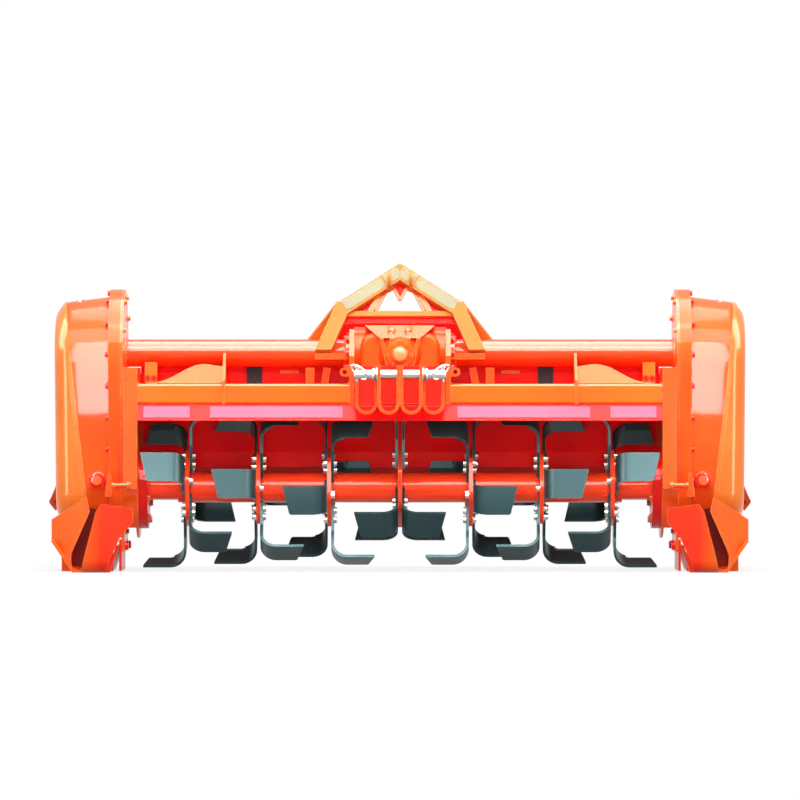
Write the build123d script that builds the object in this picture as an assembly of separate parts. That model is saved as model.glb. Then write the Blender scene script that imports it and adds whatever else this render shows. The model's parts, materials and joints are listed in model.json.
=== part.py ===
"""Rotavator: a three-point-mounted rotary tiller with a drive casing at each end.

Millimetres. +Z is up, -Y is forward (the tractor's side) and +X is the machine's left.
Shapes are drawn about the rotor axis at y = 0 and the whole machine is centred at the end.
"""
from build123d import *
from math import acos, atan2, cos, degrees, pi, radians, sin, sqrt, tan
import os

# ---------------------------------------------------------------- driving dimensions
FIT = 0.05                 # radial clearance of a shaft or pin in its bore

# rotor
ROTOR_Z = 248.0            # rotor axis above the soles of the skids
TINE_SWING = 240.0         # radius swept by the corners of the blades
GANG_PITCH = 211.0         # from one blade flange to the next
GANGS_EACH_SIDE = 3        # flanges on each side of the middle one
END_ROOM = 144.0           # last flange to the inner face of the side plate
ROTOR_TUBE_R = 44.5
ROTOR_TUBE_WALL = 8.0
TUBE_PAST_GANG = 30.0      # how far the tube runs on past the last flange
STUB_R = 35.0              # journal at each end of the rotor
FLANGE_R = 124.0           # across the corners of the six-sided blade flange
FLANGE_T = 12.0
FLANGE_CORNER_R = 30.0
GANG_TWIST = 12.5          # each flange lags the next one out by this angle, degrees
LAST_GANG_LEAD = 12.0      # elevation of the foremost blade of the last flange, degrees
MIDDLE_GANG_LEAD = -32.0   # and of the foremost pair on the middle flange

# blades
BLADE_T = 8.0
BLADE_ROOT_W = 78.0
BLADE_ROOT_R = 58.0        # inner end of the blade's shank
BLADE_LEG = 136.0          # how far the bent leg stands out from the middle of the flange
BLADE_BEND_R = 40.0        # inside radius of the bend
BLADE_LAG = 60.0           # how far the tip trails the shank's middle line
BLADE_TIP_W = 86.0         # width of the bent leg
BLADE_TIP_ROUND = 9.0      # rounded leading corner of the tip
BLADE_TIP_RAKE = 18.0      # how far the tip's end slants
BLADE_EDGE = 20.0          # width of the ground cutting edge
BLADE_EDGE_LAND = 1.5      # thickness left at the cutting edge
BLADE_EDGE_RUN_OUT = 26.0  # over which the ground edge fades out towards the bend

# side plates and the box between each plate and its drive casing
SIDE_PLATE_T = 8.0
SIDE_BOX_DEPTH = 50.0      # outward, to the back of the drive casing
SIDE_FRONT = 205.0         # front edge ahead of the rotor axis
SIDE_TOP_Z = 606.0
SIDE_FLANGE_T = 8.0

# hood
HOOD_T = 5.0
HOOD_DECK_Z = 498.0        # top of the front shelf, which carries the square tubes
HOOD_CREST_Z = 534.0
HOOD_SHELF = (200.0, 118.0)     # front and back of the shelf, ahead of the rotor axis
HOOD_CREST = (-70.0, 85.0)      # front and back of the crest
HOOD_SHOULDER = (205.0, 468.0)  # y, z where the rear slope steepens
HOOD_LIP = (22.0, 48.0)         # how far the lip stands forward and hangs down
HOOD_BEND_R = 14.0
HOOD_APRON = (4.0, 26.0, 24.0)  # gap ahead of the hinge barrels, start above and end below the hinge

# tubes
TOP_TUBE_R = 41.0
TOP_TUBE_WALL = 6.0
TOP_TUBE_Y = -30.0
TOP_TUBE_Z = 650.0
SQUARE_TUBE = 60.0
SQUARE_TUBE_WALL = 5.0
SQUARE_TUBE_Y = -158.0
TUBE_INNER_END = 150.0     # inner end of the top and square tubes, at the headstock
TUBE_COLLAR = (54.0, 12.0) # radius and thickness of the top tube's bolted collar
REAR_BEAM = 50.0
REAR_BEAM_H = 56.0
REAR_BEAM_Y = 50.0

# gussets between the tubes
GUSSET_X = 522.0
GUSSET_T = 8.0
HUMP_LENGTH = 222.0
HUMP_RISE = 58.0
HUMP_T = 6.0
HUMP_LEAN = 24.0           # degrees back from upright
LUG = (720.0, 756.0, 64.0) # start x, end x and height of the lug beside the side plate
HEADSTOCK_T = 14.0
HEADSTOCK_TOP = (640.0, 720.0)   # top of its front edge, and its highest edge
MAST_SHOE = (60.0, 18.0)         # depth and thickness of the shoe under each foot of the mast
HEADSTOCK_EAR = (40.0, 26.0, 95.0, 7.0)   # length, height, rise above the deck, and hole radius

# drive casing
CASING_TOP_R = 190.0
CASING_BOTTOM_R = 150.0
CASING_FLANGE_T = 36.0
CASING_FLANGE_W = 22.0     # flange outside the casing's wall
CASING_DEPTH = 199.0       # whole casing, back of the flange to the outer face
CASING_SPLIT = 129.0       # depth at which the cover meets the housing, half way up
CASING_SPLIT_TILT = 6.0    # degrees, further out at the top
CASING_DRAFT = 7.0         # degrees
CASING_EDGE_R = 56.0
CASING_BEAD = (5.0, 12.0)  # how far the cover's rim stands proud, and its width

# boss and ear low on the front of the drive housing
BOSS = (898.0, 272.0, 24.0)     # x, z, radius
BOSS_FRONT = -158.0
EAR = [(852.0, 224.0), (874.0, 224.0), (866.0, 292.0), (856.0, 292.0)]
EAR_FRONT = -176.0

# bearings
HUB_R = 122.0
HUB_T = 26.0

# hitch
PIN_R = 14.2
PIN_Y = -300.0
PIN_Z = 585.0
PIN_END = 135.0            # outer end of the lower link pins
CLEVIS_OUT = 66.0          # outer face of each U bracket at the middle
CLEVIS_WALL = 9.0
CLEVIS_BOTTOM_Z = 468.0
CLEVIS_TOP_Z = 612.0
CLEVIS_FRONT = -330.0
CLEVIS_BACK = -190.0
HITCH_PLATE_T = 12.0
SECOND_CLEVIS_FRONT = -262.0

LINK_COLLAR = (21.0, 4.0)  # radius and thickness of the pin's collar

# mast
MAST_LEAN = 20.0           # degrees back from upright
MAST_BAR = 44.0
MAST_T = 30.0
MAST_PANEL_T = 8.0
MAST_FOOT = (252.0, 660.0)      # x, z
MAST_APEX_Z = 918.0
# heights on the mast are shares of the rise from the gearbox's top to the apex
MAST_SHOULDER = (192.0, 0.34)            # x, share
MAST_PANEL_FOOT = 0.088                  # lower edge of the panel behind the bars
MAST_WINDOW = [(0.0, 0.268), (70.0, 0.28), (40.0, 0.59), (18.0, 0.645), (0.0, 0.452)]   # left half
MAST_CROSSBAR = (170.0, 0.183, 0.258)    # half length, bottom and top
MAST_BACK = (200.0, 160.0, 0.183)        # half width low down and at the top, and the top's share
MAST_Y = -150.0            # front face at the height of the feet
TOP_LINK_R = 12.9
TOP_LINK_AHEAD = 34.0
TOP_LINK_DROP = 60.0       # below the mast's apex
TOP_LINK_GAP = 52.0
TOP_LINK_CHEEK = 12.0

# gearbox
GEARBOX_HALF_W = 118.0
GEARBOX_FRONT = -175.0
GEARBOX_BEAM_GAP = 4.0     # behind the casting, to the rear beam
GEARBOX_NOSE = 13.0        # input boss, ahead of the casting's front
GEARBOX_NOSE_R = 56.0
GEARBOX_SHOULDER_R = 78.0  # round side flanges
GEARBOX_RIB_T = 10.0
GEARBOX_RIBS = [(58.0, 34.0), (27.0, 17.0)]    # x at the top and at the bottom of each rib
GEARBOX_HOOD = (104.0, 60.0, 38.0)   # half width at the top and bottom of the top cover, and its height
GEARBOX_ROUND = 42.0       # rounded upper corners of the casting
GEARBOX_BOTTOM_Z = 556.0
GEARBOX_TOP_Z = 732.0
INPUT_Z = 645.0
INPUT_R = 17.46            # outer radius of the splined power take-off shaft
INPUT_ROOT_R = 14.9
INPUT_SPLINES = 6
INPUT_SPLINE_W = 8.6
INPUT_JOURNAL_R = 23.5
INPUT_REACH = 95.0

# trailing board
HINGE_Y = 290.0
HINGE_Z = 330.0
HINGE_R = 8.0
HINGE_BARREL_R = 14.0
BOARD_T = 5.0
BOARD_DROP = (120.0, 125.0)     # rear and down from the hinge to the board's edge
BOARD_HALF_W = 1000.0
WING = [(16.0, 6.0), (74.0, 132.0), (56.0, 158.0)]  # flared end: out past the board's half width, below the hinge
BOARD_FOLD_R = 60.0
WING_RUN = 1.26            # the wings run on past the board's edge, as a share of its drop

# skids
SKID_PLATE_T = 8.0
SKID_PAN = [(831.0, 78.0), (858.0, 0.0), (969.0, 0.0), (1032.0, 93.0)]   # outer line, in (x, z)
SKID_START = -214.0        # where the pan meets the nose
SKID_BACK = 190.0
SKID_TONGUE_Z = 58.0       # bottom of the tongue that carries the skid
SKID_WEB_HALF = 120.0      # half the length of the bolted web
NOSE_REACH = 58.0          # how far the nose runs on ahead of the pan
NOSE_INNER = [(787.0, 190.0), (880.0, 204.0), (897.0, 181.0), (932.0, 46.0), (942.0, 0.0), (868.0, 0.0),
              (855.0, 40.0), (825.0, 105.0), (787.0, 150.0)]
BULKHEAD = (850.0, 1004.0, 92.0)   # start x, end x and height of the cross plate inside the pan
BULKHEAD_Y = -150.0
NOSE_OUTER = [(924.0, 225.0), (1032.0, 156.0), (1032.0, 93.0), (969.0, 0.0), (972.0, 54.0), (914.0, 181.0)]
NOSE_SWEEP = 38.0          # degrees that the outer face turns back

# stays from the mast back to the rear beam
STAY_TOP = (181.0, 7.0, 0.28)    # x, behind the mast, share of the mast's rise
STAY_FOOT = (331.0, 68.0, 596.0)
STAY_BAR = (34.0, 10.0)

# stay rods
ROD_X = 436.0
ROD_R = 8.0
ROD_FOOT = (96.0, 60.0)    # along the board from the hinge, and out from it
GUIDE = (74.0, 640.0)      # y, z of the guide's hole
ROD_PAST_GUIDE = 62.0
SPRING_ENDS = (60.0, 120.0)     # clear of the rod's foot, and of its guide
ROD_LUGS = (12.0, 10.0, 16.0)   # from the rod's middle to a lug, the lug's thickness and end radius
GUIDE_POST = (23.0, 6.0)   # half width and thickness of the guide's strap
GUIDE_PLATE = (46.0, 70.0, 6.0)
GUIDE_SLOT = (30.0, 32.0)  # the room that the rod has in it
GUIDE_DROP = 24.0          # from the guide's hole forward and down to the strap's shelf

# ---------------------------------------------------------------- sizes that follow
LAST_GANG_X = GANG_PITCH * GANGS_EACH_SIDE
SIDE_IN = LAST_GANG_X + END_ROOM
CASING_BACK_X = SIDE_IN + SIDE_BOX_DEPTH
BLADE_REACH = sqrt(TINE_SWING ** 2 - BLADE_LAG ** 2)
SQUARE_TUBE_Z = HOOD_DECK_Z + SQUARE_TUBE / 2
BEAM_FRONT = REAR_BEAM_Y - REAR_BEAM / 2
GEARBOX_BACK = BEAM_FRONT - GEARBOX_BEAM_GAP
CASING_PLATE_X = CASING_BACK_X - SIDE_PLATE_T


def yz_slab(sketch, x0, x1):
    """A sketch drawn in (y, z), from x0 to x1."""
    return extrude(Plane.YZ.offset(x0) * sketch, amount=x1 - x0)


def xz_slab(sketch, y0, y1):
    """A sketch drawn in (x, z), from y0 back to y1."""
    return extrude(Plane.XZ.offset(-y1) * sketch, amount=y1 - y0)


def xy_slab(sketch, z0, z1):
    """A sketch drawn in (x, y), from z0 up to z1."""
    return extrude(Plane.XY.offset(z0) * sketch, amount=z1 - z0)


def x_bar(radius, y, z, x0, x1):
    """A round bar along X."""
    return yz_slab(Pos(y, z) * Circle(radius), x0, x1)


def box(x0, x1, y0, y1, z0, z1):
    """A block between two corners."""
    return Pos((x0 + x1) / 2, (y0 + y1) / 2, (z0 + z1) / 2) * Box(x1 - x0, y1 - y0, z1 - z0)


def outline(*points):
    """A closed polygon through the points."""
    return make_face(Polyline(*points, close=True))


def folded_strip(points, thickness, bend, side=Side.RIGHT):
    """The section of a sheet folded along a line, its thickness to one side."""
    line = FilletPolyline(*points, radius=bend)
    return make_face(line.offset_2d(thickness, side=side, closed=True))


def stadium(top_r, bottom_r):
    """Two arcs, round the top tube and round the rotor axis, joined by their tangents, in (y, z)."""
    drop = TOP_TUBE_Z - ROTOR_Z
    upward = atan2(drop, TOP_TUBE_Y)
    spread = acos((bottom_r - top_r) / sqrt(drop ** 2 + TOP_TUBE_Y ** 2))

    def low(angle):
        return (bottom_r * cos(angle), ROTOR_Z + bottom_r * sin(angle))

    def high(angle):
        return (TOP_TUBE_Y + top_r * cos(angle), TOP_TUBE_Z + top_r * sin(angle))

    back, front = upward - spread, upward + spread
    return make_face([
        Line(low(front), high(front)),
        ThreePointArc(high(front), high(upward), high(back)),
        Line(high(back), low(back)),
        ThreePointArc(low(back), low(upward + pi), low(front)),
    ])


def other_side(shape):
    """The mirror image on the machine's right."""
    return mirror(shape, about=Plane.YZ)


# ---------------------------------------------------------------- rotor
def blade():
    """One L-shaped blade on the left face of its flange, pointing forward, as if at x = 0."""
    face = FLANGE_T / 2
    inner = -BLADE_REACH + BLADE_T
    profile = outline(
        (face, -BLADE_ROOT_R), (face, -BLADE_REACH), (BLADE_LEG, -BLADE_REACH),
        (BLADE_LEG, inner), (face + BLADE_T, inner), (face + BLADE_T, -BLADE_ROOT_R))
    outside = profile.vertices().sort_by(Axis.Y)[:2].sort_by(Axis.X)[0]
    profile = fillet(outside, BLADE_BEND_R + BLADE_T)
    corner = [v for v in profile.vertices()
              if abs(v.X - face - BLADE_T) < 0.01 and abs(v.Y - inner) < 0.01]
    profile = fillet(corner, BLADE_BEND_R)
    angle = xy_slab(profile, -TINE_SWING / 2, TINE_SWING / 2)
    half = BLADE_ROOT_W / 2
    mid = (BLADE_ROOT_R + BLADE_REACH) / 2
    front = BLADE_LAG - BLADE_TIP_W
    sickle = make_face([
        Line((-BLADE_ROOT_R, -half), (-BLADE_ROOT_R, half)),
        Line((-BLADE_ROOT_R, half), (-mid, half)),
        RadiusArc((-mid, half), (-BLADE_REACH, BLADE_LAG), -BLADE_REACH),
        Line((-BLADE_REACH, BLADE_LAG), (-BLADE_REACH, front)),
        RadiusArc((-BLADE_REACH, front), (-mid, -half), BLADE_REACH),
        Line((-mid, -half), (-BLADE_ROOT_R, -half)),
    ])
    tip = BLADE_LEG - BLADE_TIP_RAKE
    leg = make_face([
        Line((0, -half), (0, BLADE_LAG)),
        Line((0, BLADE_LAG), (BLADE_LEG, BLADE_LAG)),
        Line((BLADE_LEG, BLADE_LAG), (tip, front + BLADE_TIP_ROUND)),
        RadiusArc((tip, front + BLADE_TIP_ROUND), (tip - BLADE_TIP_ROUND, front), BLADE_TIP_ROUND),
        Line((tip - BLADE_TIP_ROUND, front), (face + BLADE_T, front)),
        Line((face + BLADE_T, front), (face + BLADE_T, -half)),
        Line((face + BLADE_T, -half), (0, -half)),
    ])
    shape = angle & yz_slab(sickle, 0, BLADE_LEG)
    shape &= xz_slab(leg, -TINE_SWING, 0)
    ground = outline(
        (inner + 1, front - 1), (-BLADE_REACH + BLADE_EDGE_LAND, front - 1),
        (-BLADE_REACH + BLADE_EDGE_LAND, front), (inner, front + BLADE_EDGE), (inner + 1, front + BLADE_EDGE))
    start = face + BLADE_T + BLADE_BEND_R / 2
    fade = Vector(start, inner, front)
    along = Vector(start + BLADE_EDGE_RUN_OUT, -BLADE_REACH, front) - fade
    across = Vector(start + BLADE_EDGE_RUN_OUT / 2, inner, front + BLADE_EDGE) - fade
    fade_out = Plane(origin=fade, x_dir=along, z_dir=across.cross(along))
    wedge = yz_slab(ground, start - 1, BLADE_LEG + 1)
    big = 4 * TINE_SWING
    return shape - (wedge & (fade_out * Pos(0, 0, big / 2) * Box(big, big, big)))


def blade_gang(x, lead, blades):
    """One flange's bolted blades; each has an angle behind the lead one and a hand, +1 bent to the left."""
    left = blade()
    right = other_side(left)
    gang = Part()
    for behind, hand in blades:
        gang += Rot(behind, 0, 0) * (left if hand > 0 else right)
    return Pos(x, 0, ROTOR_Z) * Rot(-lead, 0, 0) * gang


def gang_lead(place):
    """The elevation of the foremost blade of a flange, numbered from 0 in the middle."""
    return LAST_GANG_LEAD - (GANGS_EACH_SIDE - abs(place)) * GANG_TWIST if place else MIDDLE_GANG_LEAD


def blade_gangs():
    """The blades of each flange, from the machine's right to its left."""
    alternating = [(60 * place, (1, -1)[place % 2]) for place in range(6)]
    back_to_back = [(120 * place, hand) for place in range(3) for hand in (1, -1)]
    gangs = {}
    for place in range(-GANGS_EACH_SIDE, GANGS_EACH_SIDE + 1):
        gang = blade_gang(abs(place) * GANG_PITCH, gang_lead(place), alternating if place else back_to_back)
        gangs[f"blade_gang_{place + GANGS_EACH_SIDE + 1}"] = other_side(gang) if place < 0 else gang
    return gangs


def rotor_tube():
    """The tube with its welded six-sided blade flanges and a journal at each end."""
    end = LAST_GANG_X + TUBE_PAST_GANG
    stub_end = CASING_BACK_X - 12
    tube = x_bar(ROTOR_TUBE_R, 0, ROTOR_Z, -end, end)
    plate = fillet(RegularPolygon(FLANGE_R, 6).vertices(), FLANGE_CORNER_R)
    flange = yz_slab(plate, -FLANGE_T / 2, FLANGE_T / 2)
    for place in range(-GANGS_EACH_SIDE, GANGS_EACH_SIDE + 1):
        tube += Pos(place * GANG_PITCH, 0, ROTOR_Z) * Rot(-gang_lead(place), 0, 0) * flange
    tube -= x_bar(ROTOR_TUBE_R - ROTOR_TUBE_WALL, 0, ROTOR_Z, -end + 20, end - 20)
    for side in (-1, 1):
        ends = sorted((side * end, side * stub_end))
        tube += x_bar(STUB_R, 0, ROTOR_Z, *ends)
    return tube


# ---------------------------------------------------------------- frame
def hood_line():
    """The hood's outer line from the lip back to the hinge, in (y, z)."""
    front, shelf_back = HOOD_SHELF
    return [
        (-front - HOOD_LIP[0], HOOD_DECK_Z - HOOD_LIP[1]),
        (-front, HOOD_DECK_Z),
        (-shelf_back, HOOD_DECK_Z),
        (HOOD_CREST[0], HOOD_CREST_Z),
        (HOOD_CREST[1], HOOD_CREST_Z),
        HOOD_SHOULDER,
        (apron_y(), HINGE_Z + HOOD_APRON[1]),
        (apron_y(), HINGE_Z - HOOD_APRON[2]),
    ]


def apron_y():
    """The outer face of the apron that covers the hinge from inside."""
    return HINGE_Y - HINGE_BARREL_R - HOOD_APRON[0]


KNUCKLES = [               # start x, length, which side carries it
    (40, 60, "hood"),
    (104, 60, "board"),
    (360, 60, "hood"),
    (424, 60, "board"),
    (640, 60, "board"),
    (704, 60, "hood"),
]


def knuckle(start, length):
    """A hinge barrel along X."""
    ring = Circle(HINGE_BARREL_R) - Circle(HINGE_R + FIT)
    return yz_slab(Pos(HINGE_Y, HINGE_Z) * ring, start, start + length)


def hood():
    """The folded sheet over the rotor, with its knuckles along the back."""
    sheet = yz_slab(folded_strip(hood_line(), HOOD_T, HOOD_BEND_R), -SIDE_IN, SIDE_IN)
    for start, length, carrier in KNUCKLES:
        if carrier == "hood":
            half_web = HINGE_BARREL_R / 3
            barrel = knuckle(start, length)
            barrel += box(start, start + length, apron_y() - 1, HINGE_Y - HINGE_BARREL_R + 2,
                          HINGE_Z - half_web, HINGE_Z + half_web)
            sheet += barrel
            sheet += other_side(barrel)
    return sheet


def side_outline():
    """The side plate's outline in (y, z): upright front, round the hub below, down the hood behind."""
    bottom = Pos(0, ROTOR_Z) * Circle(CASING_BOTTOM_R)
    body = outline(
        (-SIDE_FRONT, ROTOR_Z), (-SIDE_FRONT, SIDE_TOP_Z), (HOOD_CREST[1], SIDE_TOP_Z),
        (HOOD_SHOULDER[0] + 14, HOOD_SHOULDER[1] + 20), (HINGE_Y + 4, HINGE_Z + 22),
        (HINGE_Y - 24, HINGE_Z - 20), (CASING_BOTTOM_R, ROTOR_Z))
    return body + bottom


def side_plate():
    """The left side plate with the box edge that carries the casing."""
    rim = side_outline()
    plate = yz_slab(rim, SIDE_IN, SIDE_IN + SIDE_PLATE_T)
    frame = rim - offset(rim, -SIDE_FLANGE_T)
    front = Pos(-0.8 * SIDE_FRONT, SIDE_TOP_Z / 2) * Rectangle(0.7 * SIDE_FRONT, 1.3 * SIDE_TOP_Z)
    top = Pos(0, SIDE_TOP_Z) * Rectangle(4 * SIDE_FRONT, 2 * SIDE_FLANGE_T)
    frame = frame & (front + top)
    plate += yz_slab(frame, SIDE_IN, CASING_PLATE_X)
    return plate - x_bar(STUB_R + 12, 0, ROTOR_Z, SIDE_IN - 1, CASING_BACK_X + 1)


def casing_plate():
    """The plate behind the left drive casing, with the tongue below that carries the skid."""
    face = stadium(CASING_TOP_R, CASING_BOTTOM_R)
    tongue = Pos(0, (ROTOR_Z + SKID_TONGUE_Z) / 2) * Rectangle(2 * SKID_WEB_HALF, ROTOR_Z - SKID_TONGUE_Z)
    plate = yz_slab(face + tongue, CASING_PLATE_X, CASING_BACK_X)
    plate -= x_bar(STUB_R + 12, 0, ROTOR_Z, CASING_PLATE_X - 1, CASING_BACK_X + 1)
    return plate - x_bar(TOP_TUBE_R, TOP_TUBE_Y, TOP_TUBE_Z, CASING_PLATE_X - 1, CASING_BACK_X + 1)


def bearing_hub():
    """The round bearing flange inside the side plate, with its boss through the plate."""
    hub = x_bar(HUB_R, 0, ROTOR_Z, SIDE_IN - HUB_T, SIDE_IN)
    hub += x_bar(STUB_R + 12 - FIT, 0, ROTOR_Z, SIDE_IN, CASING_BACK_X)
    return hub - x_bar(STUB_R + FIT, 0, ROTOR_Z, SIDE_IN - HUB_T - 1, CASING_BACK_X + 1)


def casing_dome(spread):
    """The casing outside its flange, grown by spread, with draft and a rounded outer edge."""
    inset = CASING_FLANGE_W - spread
    wall = stadium(CASING_TOP_R - inset, CASING_BOTTOM_R - inset)
    start = CASING_BACK_X + CASING_FLANGE_T
    out = CASING_BACK_X + CASING_DEPTH
    dome = extrude(Plane.YZ.offset(start) * wall, amount=out - start, taper=CASING_DRAFT)
    return fillet(dome.faces().sort_by(Axis.X)[-1].edges(), CASING_EDGE_R)


def casing_parts():
    """The drive housing and its outer cover, which meet on a tilted plane."""
    flange = yz_slab(stadium(CASING_TOP_R, CASING_BOTTOM_R), CASING_BACK_X, CASING_BACK_X + CASING_FLANGE_T)
    dome = casing_dome(0)
    big = 4 * CASING_TOP_R
    seam = Pos(CASING_BACK_X + CASING_SPLIT, 0, (TOP_TUBE_Z + ROTOR_Z) / 2) * Rot(0, CASING_SPLIT_TILT, 0)
    outer_half = seam * Pos(big / 2, 0, 0) * Box(big, 2 * big, 2 * big)
    proud, width = CASING_BEAD
    bead = casing_dome(proud) & (seam * Pos(width / 2, 0, 0) * Box(width, 2 * big, 2 * big))
    cover = (dome & outer_half) + bead
    boss_x, boss_z, boss_r = BOSS
    boss = Plane.XZ.offset(-BOSS_FRONT) * Pos(boss_x, boss_z) * Circle(boss_r)
    boss = extrude(boss, amount=BOSS_FRONT)
    ear = xz_slab(outline(*EAR), EAR_FRONT, 0)
    housing = flange + (dome + boss + ear - outer_half)
    return housing, cover


def top_tube():
    """The left top tube with a bolted collar at the headstock."""
    radius, thick = TUBE_COLLAR
    tube = x_bar(TOP_TUBE_R, TOP_TUBE_Y, TOP_TUBE_Z, TUBE_INNER_END, CASING_BACK_X)
    tube += x_bar(radius, TOP_TUBE_Y, TOP_TUBE_Z, TUBE_INNER_END, TUBE_INNER_END + thick)
    inside = x_bar(TOP_TUBE_R - TOP_TUBE_WALL, TOP_TUBE_Y, TOP_TUBE_Z, TUBE_INNER_END - 1, CASING_BACK_X + 1)
    return tube - inside


def square_tube():
    """The left square tube along the front shelf, with the lug near its outer end."""
    section = RectangleRounded(SQUARE_TUBE, SQUARE_TUBE, 8)
    bore = SQUARE_TUBE - 2 * SQUARE_TUBE_WALL
    section -= Rectangle(bore, bore)
    return yz_slab(Pos(SQUARE_TUBE_Y, SQUARE_TUBE_Z) * section, TUBE_INNER_END, SIDE_IN) + tube_lug()


def rear_beam():
    """The beam along the hood's crest."""
    middle = Pos(REAR_BEAM_Y, HOOD_CREST_Z + REAR_BEAM_H / 2)
    section = middle * (Rectangle(REAR_BEAM, REAR_BEAM_H) - Rectangle(REAR_BEAM - 8, REAR_BEAM_H - 8))
    return yz_slab(section, -SIDE_IN, SIDE_IN)


# ---------------------------------------------------------------- trailing board
def board_line():
    """The trailing board's outer line down to the tips of its wings, in (y, z)."""
    back, drop = BOARD_DROP
    knee = (HINGE_Y + 0.55 * back, HINGE_Z - 0.34 * drop)
    run = (WING_RUN - 0.34) / (1 - 0.34)
    return [
        (HINGE_Y + HINGE_BARREL_R - 4, HINGE_Z + 4),
        knee,
        (knee[0] + run * 0.45 * back, HINGE_Z - WING_RUN * drop),
    ]


def trailing_board():
    """The curved board behind the rotor with its flared ends and rod lugs."""
    tip_x, tip_low = BOARD_HALF_W + WING[1][0], WING[2][1]
    half = [(BOARD_HALF_W + out, HINGE_Z - low) for out, low in WING]
    half = [(0, HINGE_Z + HINGE_BARREL_R), (half[0][0] - 6, HINGE_Z + HINGE_BARREL_R)] + half
    half += [(BOARD_HALF_W, HINGE_Z - BOARD_DROP[1]), (0, HINGE_Z - BOARD_DROP[1])]
    face = outline(*half) + outline(*[(-x, z) for x, z in half])
    sheet = yz_slab(folded_strip(board_line(), BOARD_T, BOARD_FOLD_R), -tip_x, tip_x)
    sheet &= xz_slab(face, HINGE_Y - tip_low, HINGE_Y + 2 * tip_low)
    for start, length, carrier in KNUCKLES:
        if carrier == "board":
            barrel = knuckle(start, length)
            sheet += barrel
            sheet += other_side(barrel)
        else:
            room = yz_slab(Pos(HINGE_Y, HINGE_Z) * Circle(HINGE_BARREL_R + 3), start - 3, start + length + 3)
            sheet -= room
            sheet -= other_side(room)
    sheet -= x_bar(HINGE_R + FIT, HINGE_Y, HINGE_Z, -SIDE_IN, SIDE_IN)
    foot_y, foot_z = rod_foot()
    off, thick, end_r = ROD_LUGS
    for x in (ROD_X - off - thick, ROD_X + off):
        lug = yz_slab(
            make_hull([*(Pos(foot_y, foot_z) * Circle(end_r)).edges(),
                       *(Pos(foot_y - ROD_FOOT[1] / 3, foot_z - 0.57 * ROD_FOOT[1]) * Circle(0.75 * end_r)).edges()]),
            x, x + thick)
        lug -= x_bar(ROD_R + FIT, foot_y, foot_z, x - 1, x + thick + 1)
        sheet += lug
        sheet += other_side(lug)
    return sheet


def rod_foot():
    """Where the stay rod pivots on the board, in (y, z)."""
    back, drop = BOARD_DROP
    length = sqrt(back ** 2 + drop ** 2)
    along = (back / length, -drop / length)
    out = (drop / length, back / length)
    return (HINGE_Y + ROD_FOOT[0] * along[0] + ROD_FOOT[1] * out[0],
            HINGE_Z + ROD_FOOT[0] * along[1] + ROD_FOOT[1] * out[1])


def rod_frame():
    """The stay rod's own axes: its foot, with Z along the rod."""
    foot_y, foot_z = rod_foot()
    lean = degrees(atan2(GUIDE[0] - foot_y, GUIDE[1] - foot_z))
    return Pos(ROD_X, foot_y, foot_z) * Rot(-lean, 0, 0)


def rod_length():
    """From the rod's foot to the middle of its guide."""
    foot_y, foot_z = rod_foot()
    return sqrt((GUIDE[0] - foot_y) ** 2 + (GUIDE[1] - foot_z) ** 2)


def stay_rod():
    """A rod with a cross pin at its foot and a stop collar that rests on the guide."""
    reach = rod_length() + ROD_PAST_GUIDE
    rod = Pos(0, 0, reach / 2) * Cylinder(ROD_R, reach)
    eye = Rot(0, 90, 0) * Cylinder(15, 22)
    pin = Rot(0, 90, 0) * Cylinder(ROD_R, 48)
    collar = Pos(0, 0, rod_length() + 3 + 6) * Cylinder(19, 10)
    return rod_frame() * (rod + eye + pin + collar)


def stay_spring():
    """The coil spring on the rod below the guide, as a sleeve of its outer shape."""
    low, high = SPRING_ENDS[0], rod_length() - SPRING_ENDS[1]
    sleeve = Cylinder(21, high - low) - Cylinder(ROD_R + FIT, high - low)
    return rod_frame() * Pos(0, 0, (low + high) / 2) * sleeve


def rod_guide():
    """The bracket on the rear beam that the rod slides through."""
    plate = Box(*GUIDE_PLATE) - Box(*GUIDE_SLOT, 2 * GUIDE_PLATE[2])
    plate = rod_frame() * Pos(0, 0, rod_length()) * plate
    half, thick = GUIDE_POST
    low_y, low_z = GUIDE[0] - GUIDE_DROP, GUIDE[1] - GUIDE_DROP
    post = box(ROD_X - half, ROD_X + half, BEAM_FRONT - thick, BEAM_FRONT, HOOD_CREST_Z + thick, low_z + thick / 2)
    shelf = box(ROD_X - half, ROD_X + half, BEAM_FRONT - thick, low_y, low_z - thick / 2, low_z + thick / 2)
    return post + shelf + plate


# ---------------------------------------------------------------- skids
def skid():
    """The left skid: a pan with sloping sides, the folded nose ahead and the bolted web inside."""
    section = Polyline(*SKID_PAN)
    section = make_face(Wire(section).offset_2d(SKID_PLATE_T, side=Side.LEFT, closed=True))
    pan = xz_slab(section, SKID_START, SKID_BACK)
    web_x = CASING_BACK_X
    web = box(web_x, web_x + SKID_PLATE_T, -SKID_WEB_HALF, SKID_WEB_HALF, 2, SKID_TONGUE_Z + 36)
    start, end, height = BULKHEAD
    bulkhead = box(start, end, BULKHEAD_Y, BULKHEAD_Y + SKID_PLATE_T, 2, height)
    return pan + web + bulkhead + skid_nose()


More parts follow.
